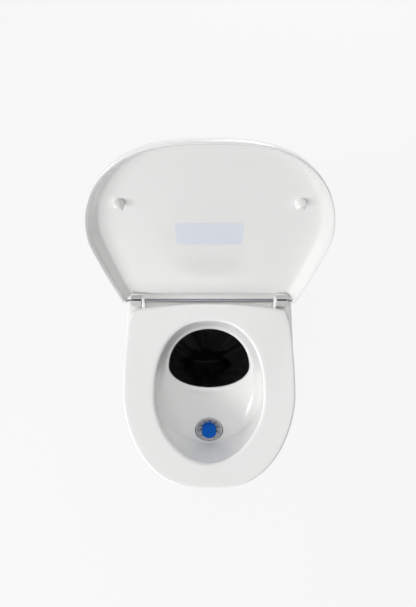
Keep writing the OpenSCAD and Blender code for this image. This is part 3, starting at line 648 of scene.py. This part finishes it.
class TOILET_OT_lid(bpy.types.Operator):
    """Domed lid with a flat rim and a filleted inner wall, its two ears and its two bumper noses"""

    bl_idname = "toilet.lid"
    bl_label = "Lid"

    def execute(self, context):
        s = sizes()
        depth, band = s.lid_depth / MM, s.lid_round / MM
        rim, thick = 6.5, 4
        rim_z = lid_rim_height()

        def panel(d, z):
            edge = lid_line(d)
            return [
                [(x * (1 - u), y, z + crown(x * (1 - u), y)) for x, y in edge]
                for u in (0.08, 0.22, 0.4, 0.6, 0.8, 1)
            ]

        turns = (88, 80, 71, 62, 53, 44, 35, 26, 17, 9, 4)
        outer = [at(lid_line(band * (1 - cos(q))), rim_z + depth * sin(q)) for q in turns]
        lip = [at(lid_line(0.4), rim_z + 0.5), at(lid_line(1.2), rim_z), at(lid_line(2.2), rim_z + 0.3),
               at(lid_line(rim - 1), rim_z + 2.6), at(lid_line(rim - 0.2), rim_z + 3.6)]
        inner_depth = depth - thick
        # Inner wall: upright beside the seat, then a straight slope and a tight fillet up to the panel
        wall = (
            (0.3, 5.2), (1.2, 7), (2.6, 8.9), (6.5, 13.9),
            (10.4, 18.9), (11.2, 19.9), (12.4, 20.9), (14, 21.6),
        )
        inner = [at(lid_line(rim + x), rim_z + z) for x, z in wall + ((17, inner_depth),)]
        lines = list(reversed(panel(band, rim_z + depth))) + outer + lip + inner
        lines += panel(band - 1, rim_z + inner_depth)
        bm = bmesh.new()
        skin(bm, lines, closed=False)
        bmesh.ops.remove_doubles(bm, verts=bm.verts, dist=1e-6)
        rear = [e for e in bm.edges if e.is_boundary]
        bmesh.ops.holes_fill(bm, edges=rear, sides=0)
        bmesh.ops.transform(bm, matrix=lid_swing(), verts=bm.verts)
        lid = to_object(bm, "lid_moulding")
        finish(lid, "lid", finish_named("white"), ["lid_shell"])

        bm = bmesh.new()
        for side in (-1, 1):
            centre = side * (s.hinge_width / MM / 2 + s.lid_overhang / MM - EAR_INSET - 1.3 - rim / 2)
            bmesh.ops.create_cone(
                bm, cap_ends=True, segments=48, radius1=6.5 * MM, radius2=6.5 * MM, depth=rim * MM,
                matrix=place(centre, PIN.y, PIN.z, 90, "Y"),
            )
        soften(bm, 0.8)
        ears = to_object(bm, "lid_ears")
        cut_away(ears, [rod(PIN_BORE, 388, place(-194, PIN.y, PIN.z, 90, "Y"))])
        finish(ears, "lid", finish_named("white"))

        radius, nose, reach = 8, 6, 304
        out_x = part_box("lid_bumpers")[1].x / MM - radius
        tip_z = SEAT_TOP + 0.3
        root_z = rim_z + inner_depth + crown(out_x, LINE_Y - reach) + 0.5
        profile = [(radius - nose * 0.6, tip_z)]
        turns = (15, 30, 45, 60, 75, 90)
        profile += [(radius - nose * (1 - sin(q)), tip_z + nose * (1 - cos(q))) for q in turns]
        profile += [(radius, tip_z + (root_z - tip_z) * u) for u in (0.6, 1)]
        bm = bmesh.new()
        for side in (-1, 1):
            rings = [
                [(side * out_x + r * cos(a), LINE_Y - reach + r * sin(a), z) for a in range(0, 360, 6)]
                for r, z in profile
            ]
            for end in skin(bm, rings):
                bmesh.ops.contextual_create(bm, geom=end)
        bmesh.ops.transform(bm, matrix=lid_swing(), verts=bm.verts)
        bumpers = to_object(bm, "bumper_noses")
        finish(bumpers, "lid", finish_named("white"), ["lid_bumpers"])
        return {"FINISHED"}


class TOILET_OT_label(bpy.types.Operator):
    """Bare label on the lid's inner panel"""

    bl_idname = "toilet.label"
    bl_label = "Label"

    def execute(self, context):
        s = sizes()
        w, h = s.label_width / MM / 2, s.label_height / MM / 2
        panel_z = lid_rim_height() + s.lid_depth / MM - 4
        bm = bmesh.new()
        bmesh.ops.create_grid(bm, x_segments=24, y_segments=12, size=0.5)
        corners = [v for v in bm.verts if abs(v.co.x) > 0.499 and abs(v.co.y) > 0.499]
        for vert in bm.verts:
            x, y = vert.co.x * 2 * w, LINE_Y - 221 + vert.co.y * 2 * h
            if vert in corners:
                x, y = x * (1 - 1.5 / w), y - vert.co.y * 3
            vert.co = Vector((x, y, panel_z + crown(x, y) - 0.12)) * MM
        bmesh.ops.solidify(bm, geom=bm.faces[:], thickness=0.1 * MM)
        bmesh.ops.transform(bm, matrix=lid_swing(), verts=bm.verts)
        label = to_object(bm, "bare_label")
        finish(label, "lid", finish_named("label"))
        return {"FINISHED"}


SLOPE = math.tan(math.radians(DRAIN_TILT))
DRAIN = Vector((0, LINE_Y - 316, RIDGE_Z - 116 * SLOPE))
WALL_SHARE = 0.115


def front_share(j):
    count = 2 * (REAR + FRONT) + 1
    k = min(j, count - j)
    return 0.0 if k > FRONT else sin(90 * (1 - (k / FRONT) ** 1.8))


def floor_height(y):
    """Bowl's floor: a plane that falls to the drain, rounded off where it meets the level ridge."""
    before = LINE_Y - 200 - y
    return RIDGE_Z - SLOPE * (before + math.hypot(before, 5)) / 2


def bowl_ring(v, d, drop, lip):
    """Ring of the bowl's skin at share v of the way from its edge to the rear opening."""
    edge_z = DECK_Z + 1
    side = edge_z - (edge_z - RIDGE_Z) * (1 - (1 - v) ** 1.8)
    roll = sin(90 * min(1, max(0, (v - 0.92) / 0.08)))
    ring = []
    for j, (a, b) in enumerate(zip(hole_outline(BOWL_STEP + d), chute_outline(lip + d))):
        share = front_share(j)
        x, y = a[0] + (b[0] - a[0]) * v, a[1] + (b[1] - a[1]) * v
        if v < WALL_SHARE:
            foot_z = floor_height(a[1] + (b[1] - a[1]) * WALL_SHARE)
            front = edge_z - (edge_z - foot_z) * power(sin(90 * v / WALL_SHARE), 0.8)
        else:
            front = floor_height(y) + (RIDGE_Z - floor_height(y)) * roll
        ring.append((x, y, front * share + side * (1 - share) - drop))
    return ring


class TOILET_OT_bowl(bpy.types.Operator):
    """Urine-diverting bowl: steep front wall, sloping floor, ridge, rear opening, drain cup and spout"""

    bl_idname = "toilet.bowl"
    bl_label = "Bowl"

    def execute(self, context):
        lip = 3.5
        shares = [WALL_SHARE * i / 10 for i in range(10)]
        shares += [WALL_SHARE + (1 - WALL_SHARE) * i / 40 for i in range(41)]
        flange = ((14, 0), (14, 1.7), (13.2, 2.5), (BOWL_STEP + 1.2, 2.5), (BOWL_STEP + 0.3, 2.1))
        rings = [at(hole_outline(d), DECK_Z + z) for d, z in flange]
        rings += [bowl_ring(v, 0, 0, lip) for v in shares]
        turns = (20, 40, 60, 80)
        rings += [at(chute_outline(lip * (1 - sin(q))), RIDGE_Z - lip * (1 - cos(q))) for q in turns]
        rings += [at(chute_outline(0), RIDGE_Z - 11), at(chute_outline(0.7), RIDGE_Z - 12)]
        rings += [at(chute_outline(BOWL_T - 0.7), RIDGE_Z - 12), at(chute_outline(BOWL_T), RIDGE_Z - 11)]
        rings += [bowl_ring(v, BOWL_T, BOWL_T, 0) for v in reversed(shares[::2])]
        bm = bmesh.new()
        skin(bm, rings, joined=True)
        bowl = to_object(bm, "bowl_moulding")

        tilt = place(0, DRAIN.y, DRAIN.z, DRAIN_TILT)
        cup = rod(39, 15, tilt @ Matrix.Translation((0, 0, -15 * MM)), "cup", 96)
        spout = rod(13, 50, place(0, DRAIN.y + 3, DRAIN.z - 62), "spout")
        for part in (cup, spout):
            join = bowl.modifiers.new("join", "BOOLEAN")
            join.operation = "UNION"
            join.solver = "EXACT"
            join.object = part
        bake(bowl)
        for part in (cup, spout):
            bpy.data.objects.remove(part)
        cut_away(bowl, [
            # The ledge lies 0.05 mm below the strainer's rim, so the two never share a plane
            rod(36.6, 30, tilt @ Matrix.Translation((0, 0, -(STRAINER_SHEET + 0.05) * MM)), "recess", 96),
            rod(31.5, 15, tilt @ Matrix.Translation((0, 0, -12 * MM)), "well", 96),
            rod(10, 56, place(0, DRAIN.y + 3, DRAIN.z - 63), "bore"),
        ])
        finish(bowl, "top_unit", finish_named("white"), ["bowl_insert"], crease=40)
        # Painted shade: the well under the strainer gets the black finish in place of the shade that falls in
        # it, so that the slots show black
        bowl.data.materials.append(finish_named("black"))
        to_drain = tilt.inverted()
        for face in bowl.data.polygons:
            spot = to_drain @ face.center
            if math.hypot(spot.x, spot.y) < 37 * MM and -12.5 * MM < spot.z < -1.4 * MM:
                face.material_index = 1
        return {"FINISHED"}


class TOILET_OT_top(bpy.types.Operator):
    """Lift-off top: skirt, rounded edge, deck, ledge and bush cradles"""

    bl_idname = "toilet.top"
    bl_label = "Top"

    def execute(self, context):
        edge = 9
        opening = BOWL_STEP + BOWL_T + 1
        rings = [at(casing_outline(0.8, 0.8, 0.8), SPLIT_Z), at(casing_outline(0, 0, 0), SPLIT_Z + 0.8)]
        rings += [at(casing_outline(0, 0, 0), SPLIT_Z + (DECK_Z - edge - SPLIT_Z) * u) for u in (0.3, 0.65)]
        for q in range(0, 91, 10):
            rings.append(at(casing_outline(*[edge * (1 - cos(q))] * 3), DECK_Z - edge + edge * sin(q)))
        hole = at(hole_outline(opening), DECK_Z)
        rings += [between(rings[-1], hole, u) for u in (0.15, 0.5, 0.85)]
        rings += [hole, at(hole_outline(opening), DECK_Z - WALL)]
        under = at(casing_outline(WALL + 4, WALL + 4, WALL + 4), DECK_Z - WALL)
        rings += [between(rings[-1], under, u) for u in (0.2, 0.6)]
        rings += [under, at(casing_outline(WALL, WALL, WALL), DECK_Z - WALL - 4)]
        rings += [at(casing_outline(d, d, d), SPLIT_Z + z) for d, z in ((WALL, 0.6), (2.4, 0))]
        bm = bmesh.new()
        skin(bm, rings, joined=True)
        ledge = ((-0.1, 0), (-0.1, 3), (9, 3), (9, 0))
        skin(bm, [at(casing_outline(*[WALL + d] * 3), SEAL_TOP + z) for d, z in ledge], joined=True)
        top = to_object(bm, "top_moulding")
        finish(top, "top_unit", finish_named("white"), ["upper_casing"])

        bm = bmesh.new()
        low, high, r = DECK_Z - 1, PIN.z - 4, 12.05
        start = math.degrees(math.asin(4 / r))
        trough = [(PIN.y + r * cos(a), PIN.z + r * sin(a)) for a in
                  [-start - (180 - 2 * start) * i / 20 for i in range(21)]]
        half = 13
        block = [(PIN.y - half, low), (PIN.y + half, low), (PIN.y + half, high)]
        extruded(bm, block + trough + [(PIN.y - half, high)], BUSH_LENGTH)
        paired(bm, BUSH_X)
        cradles = to_object(bm, "bush_cradles")
        finish(cradles, "top_unit", finish_named("white"))
        return {"FINISHED"}


def tub_outline(z, extra, back):
    drawn = power((SPLIT_Z - z) / (SPLIT_Z - FOOT_H), 1.4)
    return at(casing_outline(26 * drawn + extra, 60 * drawn + extra, back), z)


def from_back(x, z, inside):
    """Place of a rod that runs from inside the casing out through its back."""
    return place(x, BACK_Y - inside, z, -90)


class TOILET_OT_tub(bpy.types.Operator):
    """Tub with a drawn-in toe, a stepped rim, bucket ribs and the back's openings"""

    bl_idname = "toilet.tub"
    bl_label = "Tub"

    def execute(self, context):
        rim_in = WALL + 0.5
        toe = ((0, 6, 4), (1.5, 3.2, 1.6), (3.8, 0.9, 0.4))
        rings = [tub_outline(FOOT_H + z, extra, back) for z, extra, back in toe]
        rings += [tub_outline(FOOT_H + 7 + (SPLIT_Z - 9 - FOOT_H) * u, 0, 0) for u in steps(16)]
        step = ((1.3, 0.2), (1, 0.8), (1, rim_in))
        rings += [tub_outline(SPLIT_Z - z, d, d) for z, d in step]
        rings += [at(casing_outline(rim_in, rim_in, rim_in), RIM_Z)]
        rings += [at(casing_outline(*[rim_in + WALL] * 3), z) for z in (RIM_Z, SPLIT_Z - 2)]
        rings += [tub_outline(SPLIT_Z - 6 - (SPLIT_Z - 12 - FLOOR_Z) * u, WALL, WALL) for u in steps(14)]
        rings += [tub_outline(FLOOR_Z + 2, WALL + 1.6, WALL + 1), tub_outline(FLOOR_Z, WALL + 5, WALL + 3)]
        bm = bmesh.new()
        loops = skin(bm, rings)
        for end in (loops[0], loops[-1]):
            bmesh.ops.contextual_create(bm, geom=end)
        tub = to_object(bm, "tub_moulding")
        cut_away(tub, [
            rod(38.8, 40, from_back(0, FAN.z, 20), "vent_hole", 96),
            rod(17.7, 40, from_back(0, PIPE_Z, 20), "outlet_hole"),
            rod(5.7, 40, from_back(INLET.x, FAN.z, 20), "inlet_hole", 48),
            rod(3.25, 12, place(-125, LINE_Y - 20, 2), "screw_hole_left", 32),
            rod(3.25, 12, place(125, LINE_Y - 20, 2), "screw_hole_right", 32),
        ])
        finish(tub, "base", finish_named("tub"), ["lower_casing"])

        bm = bmesh.new()
        rail_l = 102
        for x in (-85, -40, 40, 85):
            height = BUCKET_Z - 0.3 - FLOOR_Z
            size = Matrix.Diagonal((4 * MM, rail_l * MM, height * MM, 1))
            spot = Matrix.Translation(Vector((x, BUCKET_Y, FLOOR_Z + height / 2)) * MM)
            bmesh.ops.create_cube(bm, size=1, matrix=spot @ size)
        soften(bm, 0.8)
        ribs = to_object(bm, "bucket_ribs")
        finish(ribs, "base", finish_named("tub"))
        return {"FINISHED"}


class TOILET_OT_liner(bpy.types.Operator):
    """Black film bag: turned over the bucket's rim, falling in broad folds to a mouth, and open below it"""

    bl_idname = "toilet.liner"
    bl_label = "Liner"

    def execute(self, context):
        s = sizes()
        count = 288
        chance = random.Random(7)
        weights = ((-3, 1.0), (0, 0.9), (5, 0.5), (11, 0.3))
        waves = [(s.film_folds + k, chance.uniform(0, 360), w) for k, w in weights]
        full = sum(w for _, _, w in waves)
        half_x, half_y, corner = 150, 106, 55
        mouth_x, mouth_y = -8, BUCKET_Y - 31
        mouth_z = BUCKET_TOP - 106
        slack = s.film_slack / MM

        def fold(turn):
            """Film's rise off its mean, from -1 to 1: flat facets between creases."""
            total = sum(w * math.asin(0.995 * sin(n * turn + p)) for n, p, w in waves)
            return total / full / 1.1

        def turn_at(x, y):
            """Heading from the bag's middle, in degrees, with the bucket drawn as round."""
            return math.degrees(math.atan2((y - BUCKET_Y) / half_y, (x - mouth_x) / half_x))

        def on_rim(z, inset):
            r = max(20, corner - inset)
            return at(box_outline(half_x - inset, half_y - inset, r, BUCKET_Y, count), z)

        def pit(a, b, z, share):
            """Round the bag's open part: a creased ellipse, with a tongue at its front between two lobes."""
            ring = []
            for x, y, _ in on_rim(z, 3):
                turn = turn_at(x, y)
                out = a * b / math.hypot(b * cos(turn), a * sin(turn))
                away = (turn + 92 + 180) % 360 - 180
                tongue = 0.5 * math.exp(-(away / 9) ** 2)
                lobes = 0.14 * math.exp(-((abs(away) - 28) / 14) ** 2)
                out *= 1 + share * (0.16 * fold(turn) - tongue + lobes)
                ring.append((mouth_x + out * cos(turn), mouth_y + out * sin(turn), z))
            return ring

        hem = enumerate(on_rim(BUCKET_TOP - 8, -7.6))
        rings = [[(x, y, z + 1.6 * sin(17 * 360 * i / count)) for i, (x, y, z) in hem]]
        for z, inset in ((-4, -7), (0.2, -6.9), (0.9, -6.2), (1.0, -3.5), (1.0, 0), (0.6, 2.6), (-1.5, 3.2)):
            rings.append(on_rim(BUCKET_TOP + z, inset))
        rim, mouth = rings[-1], pit(64, 41, mouth_z, 1)
        for k in range(1, 19):
            u = k / 18
            ring = []
            for a, b in zip(rim, mouth):
                swell = power(math.sin(math.pi * min(u, 0.9) * 0.75), 1.2)
                off = slack * fold(turn_at(a[0], a[1])) * swell
                x, y = (p + (q - p) * u for p, q in zip(a[:2], b[:2]))
                ring.append((x, y, a[2] + (b[2] - a[2]) * u ** 0.85 + off))
            rings.append(ring)
        floor_z = BUCKET_Z + 5
        rings.append(pit(67, 43, mouth_z - 7, 0.95))
        bulge = ((80, 50, 0.7), (90, 57, 0.5), (86, 52, 0.36), (74, 36, 0.2), (62, 16, 0.08), (56, 1.5, 0))
        for a, b, level in bulge:
            rings.append(pit(a, b, floor_z + (mouth_z - floor_z) * level, 0.3 + level))
        bm = bmesh.new()
        loops = skin(bm, rings)
        bmesh.ops.contextual_create(bm, geom=loops[-1])
        bmesh.ops.recalc_face_normals(bm, faces=bm.faces)
        liner = to_object(bm, "film_liner")
        wall = liner.modifiers.new("wall", "SOLIDIFY")
        wall.thickness = 0.3 * MM
        wall.offset = 0
        bake(liner)
        finish(liner, "container", finish_named("film"), ["liner_bag"], crease=60)
        return {"FINISHED"}


class TOILET_OT_strainer(bpy.types.Operator):
    """Dished strainer in the drain, with keyhole slots round the tablet"""

    bl_idname = "toilet.strainer"
    bl_label = "Strainer"

    def execute(self, context):
        r, depth, sheet, slots = 35, 7, STRAINER_SHEET, 10
        profile = [(0.5, -depth), (r * 0.5, -depth), (r - 5, -1), (r - 4, 0), (r - 0.4, 0), (r, -0.4)]
        profile += [(r, -sheet), (r - 5, -sheet), (r * 0.5, -depth - sheet), (0.5, -depth - sheet)]
        bm = bmesh.new()
        rings = [[(reach * cos(a), reach * sin(a), z) for a in range(0, 360, 4)] for reach, z in profile]
        for end in skin(bm, rings):
            bmesh.ops.contextual_create(bm, geom=end)
        strainer = to_object(bm, "slotted_strainer")
        cutters = []
        for i in range(slots):
            a = 264 + i * 360 / slots
            cutters.append(rod(2.2, 20, place(21.5 * cos(a), 21.5 * sin(a), -14), "hole", 24))
            bm = bmesh.new()
            bmesh.ops.create_cube(bm, size=MM)
            bmesh.ops.scale(bm, vec=(15, 1.6, 20), verts=bm.verts)
            spot = Matrix.Rotation(math.radians(a), 4, "Z") @ Matrix.Translation((23.5 * MM, 0, 0))
            bmesh.ops.transform(bm, matrix=spot, verts=bm.verts)
            cutters.append(to_object(bm, "slit"))
        cut_away(strainer, cutters)
        strainer.data.transform(place(0, DRAIN.y, DRAIN.z, DRAIN_TILT))
        finish(strainer, "strainer", finish_named("sheet"), ["drain_strainer"])
        return {"FINISHED"}


class TOILET_OT_fittings(bpy.types.Operator):
    """Grooved hinge bushes; finishes of the hinge, tablet, pipework, bucket and seals"""

    bl_idname = "toilet.fittings"
    bl_label = "Fittings"

    def execute(self, context):
        bm = bmesh.new()
        radius, bore, slot, grooves = 12, 2.52, 2.1, (12, 33, 54, 126, 147, 168)
        start = math.degrees(math.asin(slot / radius))
        profile = []
        for a in range(90 - round(start), -270 + round(start), -3):
            cut = any(abs((a - g + 180) % 360 - 180) < 3 for g in grooves)
            reach = radius - (1.2 if cut else 0)
            profile.append((PIN.y + reach * cos(a), PIN.z + reach * sin(a)))
        start = math.degrees(math.asin(slot / bore))
        for i in range(25):
            a = 90 + start + (360 - 2 * start) * i / 24
            profile.append((PIN.y + bore * cos(a), PIN.z + bore * sin(a)))
        extruded(bm, profile, BUSH_LENGTH)
        paired(bm, BUSH_X)
        bushes = to_object(bm, "grooved_bushes")
        finish(bushes, "top_unit", finish_named("bush"), ["hinge_bushes"])

        repaint(["hinge_pin", "hinge_sleeve", "bail_wire"], finish_named("steel"))
        pipes = ["urine_funnel", "urine_downpipe", "urine_elbow", "urine_pipe", "urine_outlet", "outlet_nut"]
        repaint(pipes + ["solids_bucket", "bail_grip"], finish_named("grey"))
        repaint(["rubber_feet", "casing_seal", "seat_buffers", "outlet_seal"], finish_named("rubber"))
        repaint(["deodorant_tablet"], finish_named("tablet"))
        return {"FINISHED"}


class TOILET_OT_ventilation(bpy.types.Operator):
    """Finishes of the vent spigot, fan, screen and low-voltage socket"""

    bl_idname = "toilet.ventilation"
    bl_label = "Ventilation"

    def execute(self, context):
        repaint(["vent_outlet"], finish_named("white"))
        repaint(["fan_frame", "fan_rotor", "power_inlet"], finish_named("black"))
        repaint(["fan_motor", "fan_screws", "inlet_nut"], finish_named("steel"))
        repaint(["insect_screen"], finish_named("grey"))
        return {"FINISHED"}


# ---------- stage ----------


def lamp(name, spot, target, size, power_w):
    """Round softbox at a spot, turned to its target."""
    light = bpy.data.lights.new(name, "AREA")
    light.shape = "DISK"
    light.size = size
    light.energy = power_w
    made = bpy.data.objects.new(name, light)
    bpy.context.scene.collection.objects.link(made)
    made.location = spot
    made.rotation_euler = (Vector(target) - Vector(spot)).to_track_quat("-Z", "Y").to_euler()


# Share of the floor's look that glows; the rest is lit, so it keeps the object's shadow
GLOW_SHARE = 0.88


def background_rays(tree):
    """1 for camera, glossy and transmission rays, which see the pale background, and 0 for the rest."""
    path = node(tree, "ShaderNodeLightPath").outputs
    seen = path["Is Camera Ray"]
    for kind in ("Is Glossy Ray", "Is Transmission Ray"):
        seen = node(tree, "ShaderNodeMath", links={0: seen, 1: path[kind]}, operation="MAXIMUM").outputs[0]
    return seen


def pale_floor():
    """Matt floor that the camera and reflections see as nearly white, with the object's light shadow."""
    material = bpy.data.materials.new("matt_white_floor")
    material.use_nodes = True
    tree = material.node_tree
    shader = tree.nodes["Principled BSDF"]
    shader.inputs["Base Color"].default_value = (0.45, 0.45, 0.45, 1)
    shader.inputs["Roughness"].default_value = 0.9
    glow = node(tree, "ShaderNodeEmission", {"Color": (1, 1, 1, 1), "Strength": 1.0})
    seen = background_rays(tree)
    glow_share = node(tree, "ShaderNodeMath", {1: GLOW_SHARE}, {0: seen}, operation="MULTIPLY")
    mix = node(tree, "ShaderNodeMixShader", links={
        0: glow_share.outputs[0], 1: shader.outputs[0], 2: glow.outputs[0]})
    tree.links.new(mix.outputs[0], tree.nodes["Material Output"].inputs["Surface"])
    return material


class TOILET_OT_stage(bpy.types.Operator):
    """Pale floor, soft studio light and the camera over the seat"""

    bl_idname = "toilet.stage"
    bl_label = "Stage"

    def execute(self, context):
        scene = context.scene
        bm = bmesh.new()
        bmesh.ops.create_grid(bm, x_segments=1, y_segments=1, size=6)
        floor = to_object(bm, "floor")
        floor.data.materials.append(pale_floor())

        world = bpy.data.worlds.new("studio")
        scene.world = world
        world.use_nodes = True
        tree = world.node_tree
        back = tree.nodes["Background"]
        heading = node(tree, "ShaderNodeTexCoord").outputs["Generated"]
        toward = node(tree, "ShaderNodeSeparateXYZ", links={0: heading})
        # The room's light is bright on the left and overhead, and dim on the right and towards the viewer
        level = None
        for axis, kind, spread in (
            ("X", "ADD", {"From Min": -1, "To Min": 0.7, "To Max": 0.0}),
            ("Z", "ADD", {"To Max": 0.38}),
            ("Y", "MULTIPLY", {"From Min": -1, "From Max": 0, "To Min": 0.5}),
        ):
            part = node(tree, "ShaderNodeMapRange", spread, {"Value": toward.outputs[axis]}).outputs["Result"]
            if level is None:
                level = part
            else:
                level = node(tree, "ShaderNodeMath", links={0: level, 1: part}, operation=kind).outputs[0]
        tree.links.new(level, back.inputs["Strength"])
        back.inputs["Color"].default_value = (1, 1, 1, 1)
        plain = node(tree, "ShaderNodeBackground", {"Color": (1, 1, 1, 1), "Strength": 1.0})
        mix = node(tree, "ShaderNodeMixShader", links={
            0: background_rays(tree), 1: back.outputs[0], 2: plain.outputs[0]})
        tree.links.new(mix.outputs[0], tree.nodes["World Output"].inputs["Surface"])

        lamp("left_softbox", (-1.95, -0.95, 1.2), (0, 0, 0.55), 0.8, 14)
        lamp("front_softbox", (-1.0, -1.95, 1.05), (0, 0.2, 0.65), 1.0, 18)
        lamp("rear_softbox", (0.5, 2.0, 0.9), (0, 0.2, 0.35), 1.0, 14)
        lamp("high_softbox", (0, 0.7, 2.8), (0, -0.1, 0.4), 0.8, 5)

        # Straight down on the seat; place and focal length were fitted to the photograph
        data = bpy.data.cameras.new("camera")
        data.sensor_width = 36
        data.lens = 22.0
        data.shift_y = 39.5 / 607
        data.clip_start = 0.02
        camera = bpy.data.objects.new("camera", data)
        scene.collection.objects.link(camera)
        camera.location = (-0.0027, (LINE_Y - 91) * MM, (SEAT_TOP + 846) * MM)
        scene.camera = camera
        scene.view_settings.view_transform = "Standard"
        return {"FINISHED"}


class TOILET_PT_panel(bpy.types.Panel):
    """Lists the pieces and their sizes"""

    bl_idname = "TOILET_PT_panel"
    bl_label = "Dry toilet"
    bl_space_type = "VIEW_3D"
    bl_region_type = "UI"
    bl_category = "Toilet"

    def draw(self, context):
        layout = self.layout
        for group in (context.scene.toilet_sizes, context.scene.toilet_colours):
            column = layout.column(align=True)
            for key in group.__annotations__:
                column.prop(group, key)
        for piece in PIECES:
            layout.operator(piece.bl_idname)


PIECES = (
    TOILET_OT_stage, TOILET_OT_seat, TOILET_OT_lid, TOILET_OT_label, TOILET_OT_bowl, TOILET_OT_top,
    TOILET_OT_tub, TOILET_OT_liner, TOILET_OT_strainer, TOILET_OT_fittings, TOILET_OT_ventilation,
)
CLASSES = (ToiletSizes, ToiletColours) + PIECES + (TOILET_PT_panel,)


def register():
    for item in CLASSES:
        bpy.utils.register_class(item)
    bpy.types.Scene.toilet_sizes = PointerProperty(type=ToiletSizes)
    bpy.types.Scene.toilet_colours = PointerProperty(type=ToiletColours)


def unregister():
    del bpy.types.Scene.toilet_colours
    del bpy.types.Scene.toilet_sizes
    for item in reversed(CLASSES):
        bpy.utils.unregister_class(item)


def main():
    register()
    bpy.ops.toilet.stage()
    bpy.ops.toilet.seat()
    bpy.ops.toilet.lid()
    bpy.ops.toilet.label()
    bpy.ops.toilet.bowl()
    bpy.ops.toilet.top()
    bpy.ops.toilet.tub()
    bpy.ops.toilet.liner()
    bpy.ops.toilet.strainer()
    bpy.ops.toilet.fittings()
    bpy.ops.toilet.ventilation()


if __name__ == "__main__":
    main()
